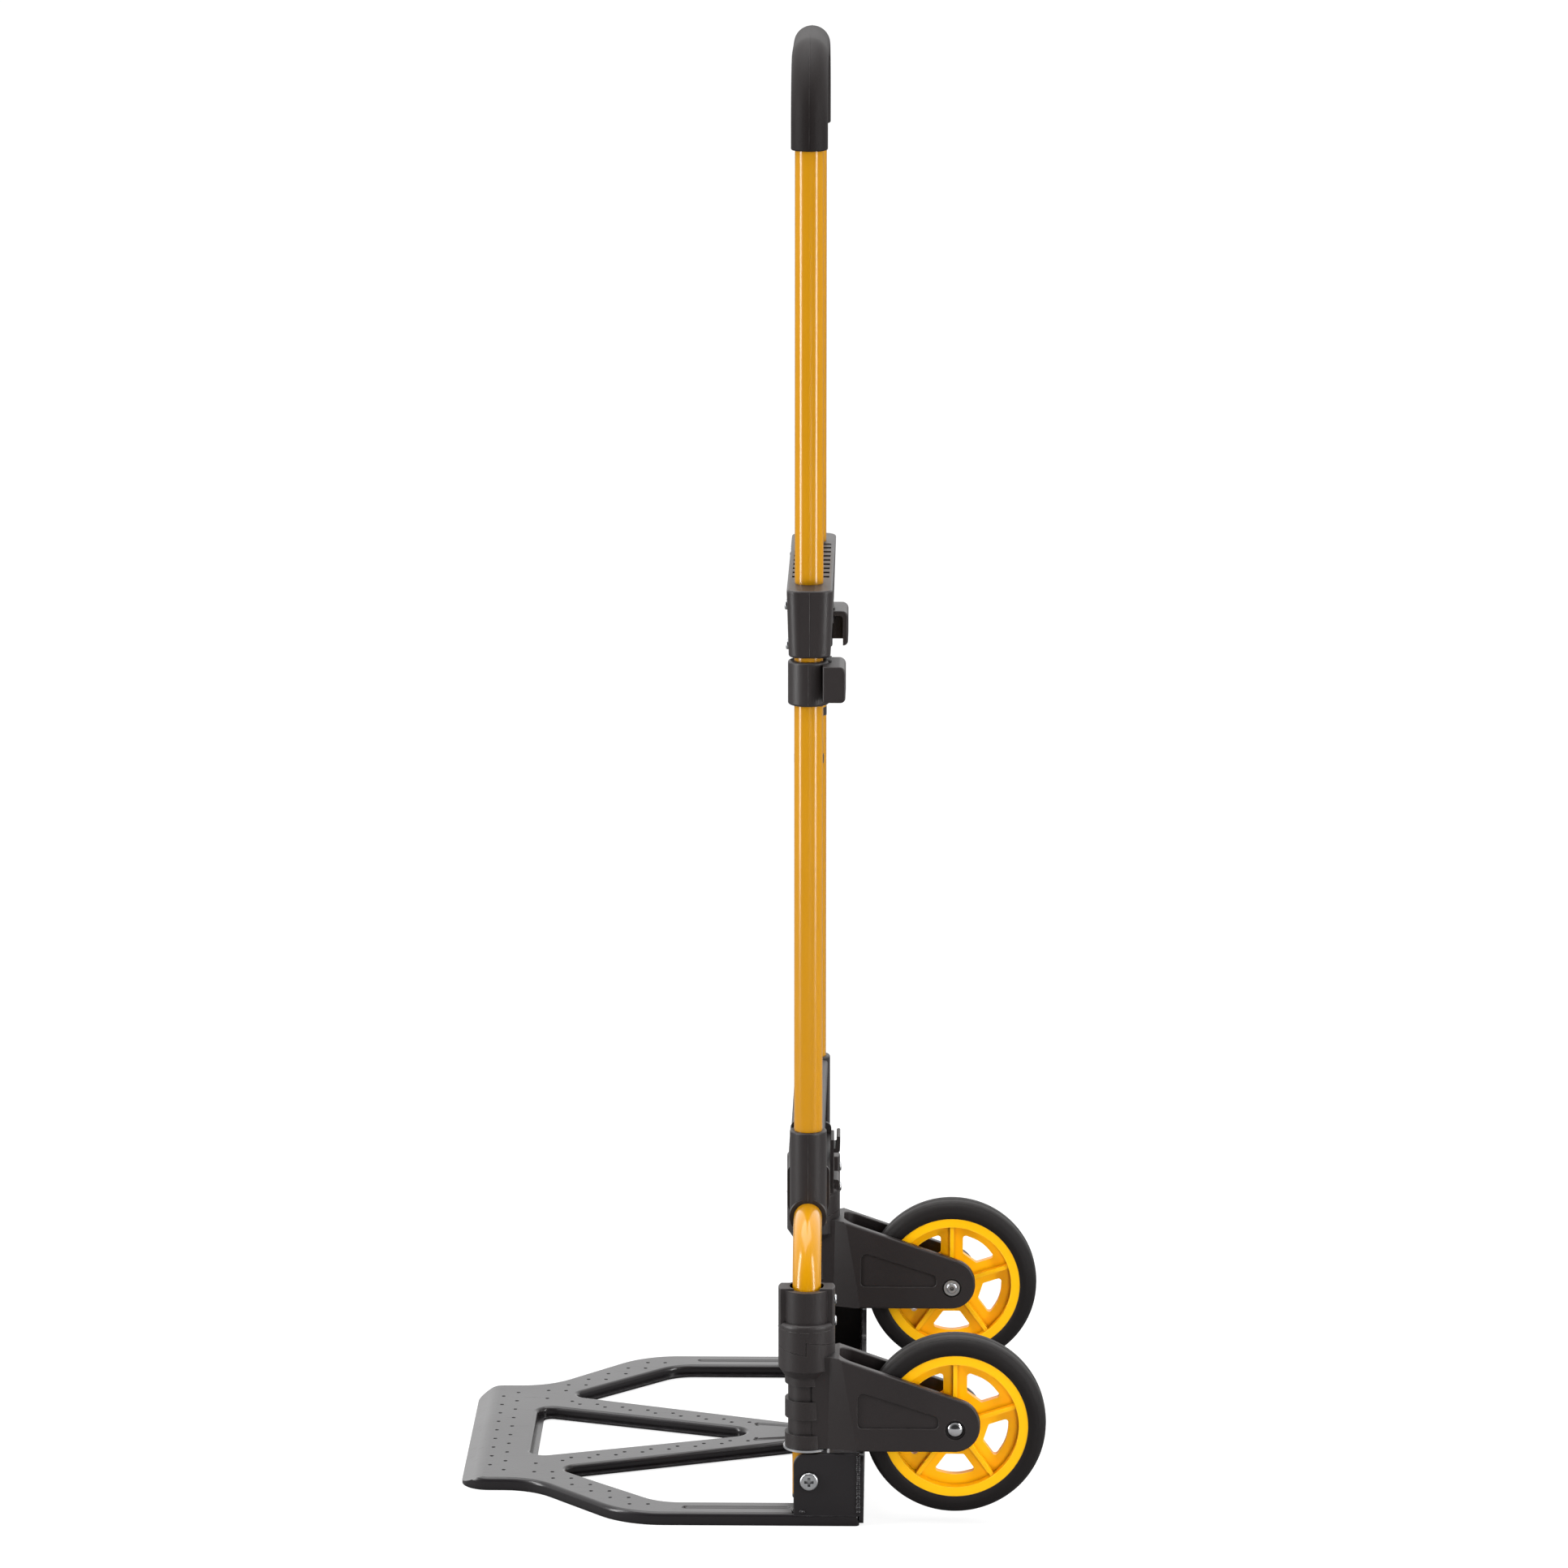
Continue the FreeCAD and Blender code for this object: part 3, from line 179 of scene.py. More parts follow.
def lamp(name, place, aim, width, height, watts):
    """A rectangular soft lamp at place, turned to aim."""
    data = bpy.data.lights.new(name, "AREA")
    data.shape, data.size, data.size_y = "RECTANGLE", width, height
    data.energy = watts
    made = bpy.data.objects.new(name, data)
    made.location = place
    made.rotation_euler = (Vector(aim) - Vector(place)).to_track_quat("-Z", "Y").to_euler()
    bpy.context.scene.collection.objects.link(made)
    return made


lamp("left_strip", (-1.8, -0.70, 0.75), MIDDLE, 0.45, STRIP_HEIGHT, 48)
lamp("right_strip", (1.65, -1.0, 0.75), MIDDLE, 0.30, STRIP_HEIGHT, 36)
lamp("top_box", (-0.2, 0.3, 2.7), (0, 0, 0), BOX_SIDE, BOX_SIDE, 60)
wheel_key = lamp("wheel_key", (0.6, -2.2, 0.35), NEAR_WHEEL, 0.8, 0.4, 20)
wheel_key.visible_glossy = False
bpy.context.scene.view_settings.view_transform = "Standard"
bpy.context.scene.view_settings.look = "None"

# %% [markdown]
# ## Shared effects
# Paint, plastic and rubber all need a fine surface grain, uneven colour, and edges that
# have been rubbed, whose paler colour is partly a painted highlight; closed-in corners get
# painted shade. Each effect is a node group, built once with named inputs, and every
# material places it with its own values. A group gives out only masks and heights, and the
# shader itself stays in the material.

# %% Group for a fine grain
def new_group(name, inputs, outputs):
    """An empty shader group; inputs are (name, kind, value) and outputs (name, kind)."""
    group = bpy.data.node_groups.new(name, "ShaderNodeTree")
    for label, kind, value in inputs:
        socket = group.interface.new_socket(label, in_out="INPUT", socket_type=kind)
        if value is not None:
            socket.default_value = value
    for label, kind in outputs:
        group.interface.new_socket(label, in_out="OUTPUT", socket_type=kind)
    start = add(group, "NodeGroupInput", (-900, 0))
    end = add(group, "NodeGroupOutput", (700, 0))
    return group, start, end


FLOAT, VECTOR = "NodeSocketFloat", "NodeSocketVector"

grain, grain_in, grain_out = new_group(
    "Surface grain",
    [("Place", VECTOR, None), ("Fineness", FLOAT, 1200.0), ("Patches", FLOAT, 14.0)],
    [("Height", FLOAT), ("Tone", FLOAT)])
fine = add(grain, "ShaderNodeTexNoise", (-500, 200))
fine.inputs["Detail"].default_value = 3.0
cells = add(grain, "ShaderNodeTexVoronoi", (-500, -100), feature="SMOOTH_F1")
cells.inputs["Smoothness"].default_value = 0.6
patch = add(grain, "ShaderNodeTexNoise", (-500, -400))
patch.inputs["Detail"].default_value = 2.0
blend = add(grain, "ShaderNodeMath", (0, 100), operation="ADD")
for texture, size in ((fine, "Fineness"), (cells, "Fineness"), (patch, "Patches")):
    join(grain, (grain_in, "Place"), (texture, "Vector"))
    join(grain, (grain_in, size), (texture, "Scale"))
join(grain, (fine, 0), (blend, 0))
join(grain, (cells, "Distance"), (blend, 1))
join(grain, (blend, 0), (grain_out, "Height"))
join(grain, (patch, 0), (grain_out, "Tone"))
print("group", grain.name)

# %% [markdown]
# A sharp edge is where paint thins and plastic goes shiny. The paler colour given to an
# edge is partly that wear and partly a painted highlight, standing in for the light that a
# rounded edge catches. The Bevel node rounds the normal near an edge, so where it differs
# from the true normal there is an edge. A noise breaks the line up, because handling never
# rubs evenly.

# %% Group for rubbed edges and their painted highlight
FLAT, SHARP = 0.995, 0.86      # cosine between the true and the rounded normal

# The edge mask drives a paler colour that is partly wear and partly a painted highlight.
rubbed_and_highlit, rubbed_and_highlit_in, rubbed_and_highlit_out = new_group(
    "Rubbed edges and painted highlight",
    [("Place", VECTOR, None), ("Width", FLOAT, 0.0008), ("Breakup", FLOAT, 160.0)],
    [("Edge", FLOAT)])
rounded = add(rubbed_and_highlit, "ShaderNodeBevel", (-500, 200), samples=4)
surface = add(rubbed_and_highlit, "ShaderNodeNewGeometry", (-500, 0))
same = add(rubbed_and_highlit, "ShaderNodeVectorMath", (-250, 100), operation="DOT_PRODUCT")
edge = add(rubbed_and_highlit, "ShaderNodeMapRange", (-50, 100))
spread(edge, FLAT, SHARP)
uneven = add(rubbed_and_highlit, "ShaderNodeTexNoise", (-500, -250))
uneven.inputs["Detail"].default_value = 4.0
broken = add(rubbed_and_highlit, "ShaderNodeMapRange", (-50, -200))
spread(broken, 0.35, 0.65)
both = add(rubbed_and_highlit, "ShaderNodeMath", (250, 0), operation="MULTIPLY")
join(rubbed_and_highlit, (rubbed_and_highlit_in, "Width"), (rounded, "Radius"))
join(rubbed_and_highlit, (rounded, 0), (same, 0))
join(rubbed_and_highlit, (surface, "Normal"), (same, 1))
join(rubbed_and_highlit, (same, "Value"), (edge, "Value"))
join(rubbed_and_highlit, (rubbed_and_highlit_in, "Place"), (uneven, "Vector"))
join(rubbed_and_highlit, (rubbed_and_highlit_in, "Breakup"), (uneven, "Scale"))
join(rubbed_and_highlit, (uneven, 0), (broken, "Value"))
join(rubbed_and_highlit, (edge, 0), (both, 0))
join(rubbed_and_highlit, (broken, 0), (both, 1))
join(rubbed_and_highlit, (both, 0), (rubbed_and_highlit_out, "Edge"))
print("group", rubbed_and_highlit.name)

# %% [markdown]
# Packing and handling leave hair-thin scuffs that run in every direction. Noise stretched
# along one axis gives streaks, and only its peaks are kept, so the scuffs are few.

# %% Group for light scuffs
scuffed, scuffed_in, scuffed_out = new_group(
    "Light scuffs", [("Place", VECTOR, None), ("Length", FLOAT, 40.0), ("Share", FLOAT, 0.5)],
    [("Scuff", FLOAT)])
turn = add(scuffed, "ShaderNodeMapping", (-650, 0))
turn.inputs["Rotation"].default_value = (0.5, 0.9, 0.3)
turn.inputs["Scale"].default_value = (1.0, 14.0, 6.0)
streak = add(scuffed, "ShaderNodeTexNoise", (-400, 0))
streak.inputs["Detail"].default_value = 5.0
streak.inputs["Roughness"].default_value = 0.7
peaks = add(scuffed, "ShaderNodeMapRange", (-100, 0))
spread(peaks, 0.60, 0.72)
share = add(scuffed, "ShaderNodeMath", (150, 0), operation="MULTIPLY")
join(scuffed, (scuffed_in, "Place"), (turn, "Vector"))
join(scuffed, (turn, 0), (streak, "Vector"))
join(scuffed, (scuffed_in, "Length"), (streak, "Scale"))
join(scuffed, (streak, 0), (peaks, "Value"))
join(scuffed, (peaks, 0), (share, 0))
join(scuffed, (scuffed_in, "Share"), (share, 1))
join(scuffed, (share, 0), (scuffed_out, "Scuff"))
print("group", scuffed.name)

# %% [markdown]
# Closed-in places, such as the cross in a screw's head and the foot of a collar, are given
# a darker colour as painted shade. The Ambient Occlusion node measures how closed in a point
# is, over a short distance, and the group turns that into a mask for the painted shade.

# %% Group for painted shade in closed-in corners
OPEN, CLOSED = 0.92, 0.35      # share of the sky that a point sees nearby

# This mask darkens the colour in closed-in places: painted shade.
corners, corners_in, corners_out = new_group(
    "Painted corner shade", [("Reach", FLOAT, 0.003)], [("Shade", FLOAT)])
closed_in = add(corners, "ShaderNodeAmbientOcclusion", (-500, 0), samples=8)
darkness = add(corners, "ShaderNodeMapRange", (0, 0))
spread(darkness, OPEN, CLOSED)
join(corners, (corners_in, "Reach"), (closed_in, "Distance"))
join(corners, (closed_in, "AO"), (darkness, "Value"))
join(corners, (darkness, 0), (corners_out, "Shade"))
print("group", corners.name)

# %% [markdown]
# ## A recipe for one finish
# Most finishes here differ only in numbers: two close colours that the tone mixes, a
# brighter colour for rubbed edges that is partly a painted highlight, a darker one painted as
# shade in closed-in corners, how rough the surface is, and how deep its grain. One function
# builds them, and what a finish has of its own is added afterwards.

# %% Build a finish from the shared effects
MIX_SHARE, MIX_FIRST, MIX_SECOND, MIX_RESULT = 0, 6, 7, 2   # the Mix node's colour sockets
# how far the painted shade in closed-in corners looks for nearby surfaces
PAINTED_SHADE_REACH = 0.0035
ROUGH_SWING = 0.05             # how far the tone moves the roughness each way
SCUFF_ROUGHNESS = 0.18
COAT_ROUGHNESS = 0.12


def place_group(tree, group, place, values):
    """A group node in the tree, with its named values set."""
    node = add(tree, "ShaderNodeGroup", place)
    node.node_tree = group
    for label, value in values.items():
        node.inputs[label].default_value = value
    return node


def mix_colours(tree, place, first, second):
    """A colour mix; first and second are colours, or (node, socket) pairs."""
    node = add(tree, "ShaderNodeMix", place, data_type="RGBA")
    for number, value in ((MIX_FIRST, first), (MIX_SECOND, second)):
        if isinstance(value[0], bpy.types.Node):
            join(tree, value, (node, number))
        else:
            node.inputs[number].default_value = (*value, 1)
    return node


def new_finish(name, dark, light, worn_and_highlit, rough, fineness, depth, edge_width=0.0008,
               patches=14.0, scuffs=0.4, metallic=0.0, coat=0.0, shine=0.5,
               painted_shade_level=0.15):
    """A Principled material whose colour, roughness and bump come from the shared groups."""
    material = bpy.data.materials.new(name)
    material.use_nodes = True
    tree = material.node_tree
    shader = tree.nodes["Principled BSDF"]
    where = add(tree, "ShaderNodeTexCoord", (-1500, 0))
    skin = place_group(tree, grain, (-1200, 100), {"Fineness": fineness, "Patches": patches})
    edges = place_group(tree, rubbed_and_highlit, (-1200, -150), {"Width": edge_width})
    marks = place_group(tree, scuffed, (-1200, -400), {"Share": scuffs})
    for group_node in (skin, edges, marks):
        join(tree, (where, "Object"), (group_node, "Place"))
    base = mix_colours(tree, (-800, 200), dark, light)
    join(tree, (skin, "Tone"), (base, MIX_SHARE))
    # Rubbed edges get the paler colour: partly wear, partly a painted highlight.
    top = mix_colours(tree, (-500, 200), (base, MIX_RESULT), worn_and_highlit)
    join(tree, (edges, "Edge"), (top, MIX_SHARE))
    # Closed-in corners get a darker colour: painted shade.
    painted_shade_mask = place_group(tree, corners, (-800, 500), {"Reach": PAINTED_SHADE_REACH})
    painted_shade_colour = tuple(painted_shade_level * part for part in dark)
    with_painted_shade = mix_colours(tree, (-250, 200), (top, MIX_RESULT), painted_shade_colour)
    join(tree, (painted_shade_mask, "Shade"), (with_painted_shade, MIX_SHARE))
    join(tree, (with_painted_shade, MIX_RESULT), (shader, "Base Color"))
    dull = add(tree, "ShaderNodeMapRange", (-800, -150))
    spread(dull, rough - ROUGH_SWING, rough + ROUGH_SWING, ("To Min", "To Max"))
    join(tree, (skin, "Tone"), (dull, "Value"))
    rougher = add(tree, "ShaderNodeMath", (-500, -150), operation="ADD", use_clamp=True)
    scaled = add(tree, "ShaderNodeMath", (-800, -400), operation="MULTIPLY")
    scaled.inputs[1].default_value = SCUFF_ROUGHNESS
    join(tree, (marks, "Scuff"), (scaled, 0))
    join(tree, (dull, 0), (rougher, 0))
    join(tree, (scaled, 0), (rougher, 1))
    join(tree, (rougher, 0), (shader, "Roughness"))
    bump = add(tree, "ShaderNodeBump", (-300, -450))
    bump.inputs["Strength"].default_value = 1.0
    bump.inputs["Distance"].default_value = depth
    join(tree, (skin, "Height"), (bump, "Height"))
    join(tree, (bump, 0), (shader, "Normal"))
    shader.inputs["Metallic"].default_value = metallic
    shader.inputs["Coat Weight"].default_value = coat
    shader.inputs["Specular IOR Level"].default_value = shine
    shader.inputs["Coat Roughness"].default_value = COAT_ROUGHNESS
    return material


# In each finish below, the worn colour is the paler edge colour, partly wear and partly a
# painted highlight, and the corner number sets how dark the painted shade in closed-in corners
# is.
finishes = {}
print("recipe ready")

# %% [markdown]
# ## Yellow tube paint
# The tubes are powder coated: plastic powder is baked on until it flows. It dries glossy,
# with the faint waviness that painters call orange peel. A low grain with wide cells and a
# clear coat over it give that.

# %% Yellow paint
finishes["yellow_paint"] = new_finish(
    "golden_powder_coat", dark=(0.475, 0.210, 0.001), light=(0.525, 0.238, 0.002),
    worn_and_highlit=(0.66, 0.36, 0.03), rough=0.20, fineness=240.0, depth=0.0000008, coat=0.2,
    scuffs=0.1, shine=0.4, painted_shade_level=0.7)
print("yellow paint on", by_finish["yellow_paint"])

# %% [markdown]
# ## Black moulded plastic
# The collars, saddles, head block and forks come from one mould shop. The moulds are
# spark-eroded, which leaves a matte skin of tiny bumps. Edges that hands touch are a little
# paler, partly from that handling and partly as a painted highlight.

# %% Black plastic
finishes["black_plastic"] = new_finish(
    "black_moulded_plastic", dark=(0.014, 0.011, 0.011), light=(0.021, 0.017, 0.017),
    worn_and_highlit=(0.070, 0.064, 0.062), rough=0.44, fineness=1500.0, depth=0.00004, scuffs=0.7,
    shine=0.42)
finishes["bush_plastic"] = new_finish(
    "grey_bush_plastic", dark=(0.035, 0.034, 0.033), light=(0.050, 0.049, 0.048),
    worn_and_highlit=(0.10, 0.10, 0.10), rough=0.5, fineness=1500.0, depth=0.00003)
print("black plastic on", len(by_finish["black_plastic"]), "parts")

# %% [markdown]
# ## Rubber
# The grip and the tyres are soft rubber, so they scatter light and hardly shine. The grip
# is foam-like with a coarser skin. The tyre is dense, and its tread is a little greyer
# where it has rolled.

# %% Grip rubber
finishes["grip_rubber"] = new_finish(
    "soft_grip_rubber", dark=(0.009, 0.007, 0.007), light=(0.014, 0.011, 0.011),
    worn_and_highlit=(0.040, 0.036, 0.035), rough=0.60, fineness=1100.0, depth=0.00006, scuffs=0.5,
    shine=0.16)
print("grip rubber ready")

# %% [markdown]
# The tread is found by distance from the wheel's axle. Both wheels share one axle height
# and one place along X, so one Mapping node centres the pattern on either of them.

# %% Tyre rubber with a dusty tread
TREAD_DEPTH = 0.003            # how far in from the tread the dust reaches
DUST_COLOUR = (0.026, 0.024, 0.023)

finishes["tyre_rubber"] = new_finish(
    "solid_tyre_rubber", dark=(0.009, 0.008, 0.008), light=(0.014, 0.012, 0.012),
    worn_and_highlit=(0.035, 0.034, 0.034), rough=0.56, fineness=900.0, depth=0.00005, shine=0.15)
tyre_low, tyre_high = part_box("right_tyre")
axle_x, axle_z = (tyre_low.x + tyre_high.x) / 2, (tyre_low.z + tyre_high.z) / 2
tyre_radius = (tyre_high.z - tyre_low.z) / 2
rubber = finishes["tyre_rubber"].node_tree
shader = rubber.nodes["Principled BSDF"]
centre = add(rubber, "ShaderNodeMapping", (-1200, 500))
centre.inputs["Location"].default_value = (-axle_x, 0, -axle_z)
flatten = add(rubber, "ShaderNodeVectorMath", (-1000, 500), operation="MULTIPLY")
flatten.inputs[1].default_value = (1, 0, 1)
radius = add(rubber, "ShaderNodeVectorMath", (-800, 500), operation="LENGTH")
tread = add(rubber, "ShaderNodeMapRange", (-600, 500))
spread(tread, tyre_radius - TREAD_DEPTH, tyre_radius)
dust = add(rubber, "ShaderNodeTexNoise", (-1000, 750))
dust.inputs["Scale"].default_value = 260.0
dust.inputs["Detail"].default_value = 5.0
dusty = add(rubber, "ShaderNodeMath", (-400, 550), operation="MULTIPLY")
plain = shader.inputs["Base Color"].links[0].from_node
paler = mix_colours(rubber, (-250, 350), (plain, MIX_RESULT), DUST_COLOUR)
where = next(n for n in rubber.nodes if n.type == "TEX_COORD")
join(rubber, (where, "Object"), (centre, "Vector"))
join(rubber, (where, "Object"), (dust, "Vector"))
join(rubber, (centre, 0), (flatten, 0))
join(rubber, (flatten, 0), (radius, 0))
join(rubber, (radius, "Value"), (tread, "Value"))
join(rubber, (tread, 0), (dusty, 0))
join(rubber, (dust, 0), (dusty, 1))
join(rubber, (dusty, 0), (paler, MIX_SHARE))
join(rubber, (paler, MIX_RESULT), (shader, "Base Color"))
print("tread radius", round(tyre_radius, 4))

# %% [markdown]
# ## Yellow wheel plastic
# The wheel centres are moulded in a fully saturated yellow. Thick plastic lets a little
# light in, so its shaded sides turn orange rather than grey. A small amount of subsurface
# scattering on the shader's own socket gives that.

# %% Yellow wheel plastic
finishes["yellow_plastic"] = new_finish(
    "yellow_wheel_plastic", dark=(1.0, 0.47, 0.001), light=(1.0, 0.53, 0.003),
    worn_and_highlit=(1.0, 0.62, 0.08), rough=0.34, fineness=1300.0, depth=0.00001, scuffs=0.2,
    shine=0.3, painted_shade_level=0.62)
wheel_shader = finishes["yellow_plastic"].node_tree.nodes["Principled BSDF"]
wheel_shader.inputs["Subsurface Weight"].default_value = 0.12
wheel_shader.inputs["Subsurface Radius"].default_value = (0.004, 0.002, 0.0005)
wheel_shader.inputs["Subsurface Scale"].default_value = 1.0
print("wheel plastic ready")

# %% [markdown]
# ## Metal
# Screws and washers are zinc plated, which is bright but slightly cloudy. The axle bolts
# have polished chrome heads. Both are metals, so their colour is their reflection.

# %% Zinc and chrome
finishes["zinc"] = new_finish(
    "bright_zinc", dark=(0.60, 0.61, 0.62), light=(0.76, 0.77, 0.79),
    worn_and_highlit=(0.85, 0.86, 0.87), rough=0.30, fineness=900.0, depth=0.00001, patches=220.0,
    metallic=1.0, edge_width=0.0003)
finishes["chrome"] = new_finish(
    "polished_chrome", dark=(0.74, 0.74, 0.76), light=(0.82, 0.82, 0.84),
    worn_and_highlit=(0.88, 0.88, 0.90), rough=0.12, fineness=900.0, depth=0.000004, patches=90.0,
    metallic=1.0, edge_width=0.0002, scuffs=0.6)
print("metals ready")

# %% [markdown]
# ## Black toe-plate paint
# The toe plate and its brackets are pressed steel with a satin black powder coat, a touch
# bluer and greyer than the plastic. Loads slide over it, so it has the most scuffs.

# %% Satin black paint
finishes["black_paint"] = new_finish(
    "satin_black_powder_coat", dark=(0.009, 0.008, 0.009), light=(0.015, 0.013, 0.014),
    worn_and_highlit=(0.10, 0.10, 0.105), rough=0.30, fineness=800.0, depth=0.00002, scuffs=0.9,
    coat=0.30, shine=0.25)
print("black paint on", by_finish["black_paint"])

# %% [markdown]
# Each part from the drawing now gets its finish through its own material slots. Its mesh is
# not touched.

# %% Put the finishes on the parts
for part, finish in finish_of.items():
    for holder in nodes[part].material_slots:
        holder.material = finishes[finish]
print("painted", len(finish_of), "parts")

# %% [markdown]
# ## Small things that follow a line
# A mould leaves a thin raised seam where its halves meet, and a welder leaves a row of
# overlapping drops. Both follow a path on a surface. The path is found by casting rays at the
# part, so it lies on the real surface, and a Geometry Nodes tree then grows the shape along
# it. A sculpted seam would have to be made again whenever the part changed.

# %% Find places on a part
surfaces = {}


def surface_of(part):
    """A search tree over one part's triangles, built once."""
    if part not in surfaces:
        mesh = nodes[part].data
        surfaces[part] = BVHTree.FromPolygons([v.co for v in mesh.vertices],
                                              [face.vertices for face in mesh.polygons])
    return surfaces[part]


def trace(part, starts, aims):
    """Where rays from each start toward each aim first meet the part."""
    found = []
    for start, aim in zip(starts, aims):
        place = surface_of(part).ray_cast(Vector(start), (Vector(aim) - Vector(start)))[0]
        if place is not None:
            found.append(place)
    return found


def along(start, end, count):
    """Points spaced evenly on a straight line, both ends included."""
    return [Vector(start).lerp(Vector(end), k / (count - 1)) for k in range(count)]


def path_object(name, paths):
    """A mesh of bare edges, one chain for each path, for a node tree to work on."""
    points, edges = [], []
    for path in paths:
        first = len(points)
        points += [tuple(place) for place in path]
        edges += [(k, k + 1) for k in range(first, len(points) - 1)]
    mesh = bpy.data.meshes.new(name)
    mesh.from_pydata(points, edges, [])
    made = bpy.data.objects.new(name, mesh)
    bpy.context.scene.collection.objects.link(made)
    return made


print("tools for paths ready")

# %% [markdown]
# The first tree draws a round bead along each path. The path becomes a curve with points a
# fixed step apart, and a small circle is swept along it. The bead sinks half into the part,
# so only a low ridge shows.

# %% Tree for a bead along a path
def new_tree(name, inputs):
    """A geometry tree with an input and output geometry and the named inputs."""
    tree = bpy.data.node_groups.new(name, "GeometryNodeTree")
    tree.is_modifier = True
    tree.interface.new_socket("Geometry", in_out="INPUT", socket_type="NodeSocketGeometry")
    for label, kind, value in inputs:
        socket = tree.interface.new_socket(label, in_out="INPUT", socket_type=kind)
        if value is not None:
            socket.default_value = value
    tree.interface.new_socket("Geometry", in_out="OUTPUT", socket_type="NodeSocketGeometry")
    return tree, add(tree, "NodeGroupInput", (-900, 0)), add(tree, "NodeGroupOutput", (900, 0))


def even_points(tree, start, step):
    """Every tree starts the same way: the edges become a curve with evenly spaced points."""
    wire = add(tree, "GeometryNodeMeshToCurve", (-700, 0))
    even = add(tree, "GeometryNodeResampleCurve", (-500, 0), mode="LENGTH")
    join(tree, (start, "Geometry"), (wire, 0))
    join(tree, (wire, 0), (even, "Curve"))
    join(tree, (start, step), (even, "Length"))
    return even


def close_tree(tree, start, end, last):
    """Every tree ends the same way: real geometry, with its finish."""
    real = add(tree, "GeometryNodeRealizeInstances", (500, 0))
    dress = add(tree, "GeometryNodeSetMaterial", (700, 0))
    join(tree, last, (real, "Geometry"))
    join(tree, (real, "Geometry"), (dress, "Geometry"))
    join(tree, (start, "Finish"), (dress, "Material"))
    join(tree, (dress, "Geometry"), (end, "Geometry"))


INTEGER, MATERIAL = "NodeSocketInt", "NodeSocketMaterial"
BEAD_SIDES = 8

bead, bead_in, bead_end = new_tree(
    "Bead along a path", [("Radius", FLOAT, 0.0003), ("Step", FLOAT, 0.002),
                          ("Finish", MATERIAL, None)])
even = even_points(bead, bead_in, "Step")
circle = add(bead, "GeometryNodeCurvePrimitiveCircle", (-300, -200))
circle.inputs["Resolution"].default_value = BEAD_SIDES
sweep = add(bead, "GeometryNodeCurveToMesh", (0, 0))
sweep.inputs["Fill Caps"].default_value = True
join(bead, (bead_in, "Radius"), (circle, "Radius"))
join(bead, (even, 0), (sweep, "Curve"))
join(bead, (circle, "Curve"), (sweep, "Profile Curve"))
close_tree(bead, bead_in, bead_end, (sweep, "Mesh"))
print("tree", bead.name)

# %% [markdown]
# The second tree lays drops of weld along each path. Each drop is a small ball of a slightly
# different size, and they overlap, which is how a hand-run bead looks. The seed is fixed, so
# the weld is the same every time.

# %% Tree for a weld
SMALLEST_DROP = (0.80, 0.80, 0.70)     # along X, Y and Z, as shares of its size
LARGEST_DROP = (1.15, 1.15, 1.0)

weld, weld_in, weld_end = new_tree(
    "Weld along a path", [("Size", FLOAT, 0.0015), ("Spacing", FLOAT, 0.0011),
                          ("Seed", INTEGER, 4), ("Finish", MATERIAL, None)])
even = even_points(weld, weld_in, "Spacing")
drop = add(weld, "GeometryNodeMeshIcoSphere", (-300, -250))
drop.inputs["Subdivisions"].default_value = 2
drop_scale = add(weld, "FunctionNodeRandomValue", (-500, -450), data_type="FLOAT_VECTOR")
drop_scale.inputs[0].default_value = SMALLEST_DROP
drop_scale.inputs[1].default_value = LARGEST_DROP
place_drops = add(weld, "GeometryNodeInstanceOnPoints", (0, 0))
join(weld, (weld_in, "Size"), (drop, "Radius"))
join(weld, (weld_in, "Seed"), (drop_scale, "Seed"))
join(weld, (even, 0), (place_drops, "Points"))
join(weld, (drop, "Mesh"), (place_drops, "Instance"))
join(weld, (drop_scale, 0), (place_drops, "Scale"))
close_tree(weld, weld_in, weld_end, (place_drops, "Instances"))
print("tree", weld.name)

# %% [markdown]
# One function runs a tree over a set of paths. The modifier's inputs are set by each
# socket's identifier, the result is copied to a plain mesh, and the modifier goes. What is
# left is an ordinary piece that rides on one body of the truck.

# %% Run a tree and keep a plain mesh
def grow(tree, name, paths, values, body, finish):
    """Makes one finished piece from the paths and puts it on its body."""
    source = path_object(name + "_path", paths)
    modifier = source.modifiers.new("grow", "NODES")
    modifier.node_group = tree
    sockets = {item.name: item.identifier for item in tree.interface.items_tree
               if item.in_out == "INPUT"}
    for label, value in values.items():
        modifier[sockets[label]] = value
    modifier[sockets["Finish"]] = finishes[finish]
    bpy.context.view_layer.update()
    ready = source.evaluated_get(bpy.context.evaluated_depsgraph_get())
    mesh = bpy.data.meshes.new_from_object(ready)
    source.modifiers.clear()
    bpy.data.objects.remove(source)
    mesh.name = name
    for face in mesh.polygons:
        face.use_smooth = True
    piece = bpy.data.objects.new(name, mesh)
    bpy.context.scene.collection.objects.link(piece)
    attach(piece, body)
    print(name, "paths", len(paths), "faces", len(mesh.polygons), "on", body)


# %% [markdown]
# ## Mould seams
# The head block, the saddles and the release collars are each moulded in two halves, and the
# seam runs down the middle of their outer faces. The fixed ones become one piece on the
# frame.

# %% Seams on the head block and the saddles
SEAM = {"Radius": 0.00022, "Step": 0.0015}
SEAM_POINTS = 24


def upright_seam(part, x, side, inset=0.0012, reach=0.05):
    """A vertical seam down a part's face on the given side of it across the truck."""
    low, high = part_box(part)
    outside = (high.y if side > 0 else low.y) + side * reach
    starts = along((x, outside, low.z + inset), (x, outside, high.z - inset), SEAM_POINTS)
    across = Vector((0, side * 2 * reach, 0))
    return trace(part, starts, [start - across for start in starts])


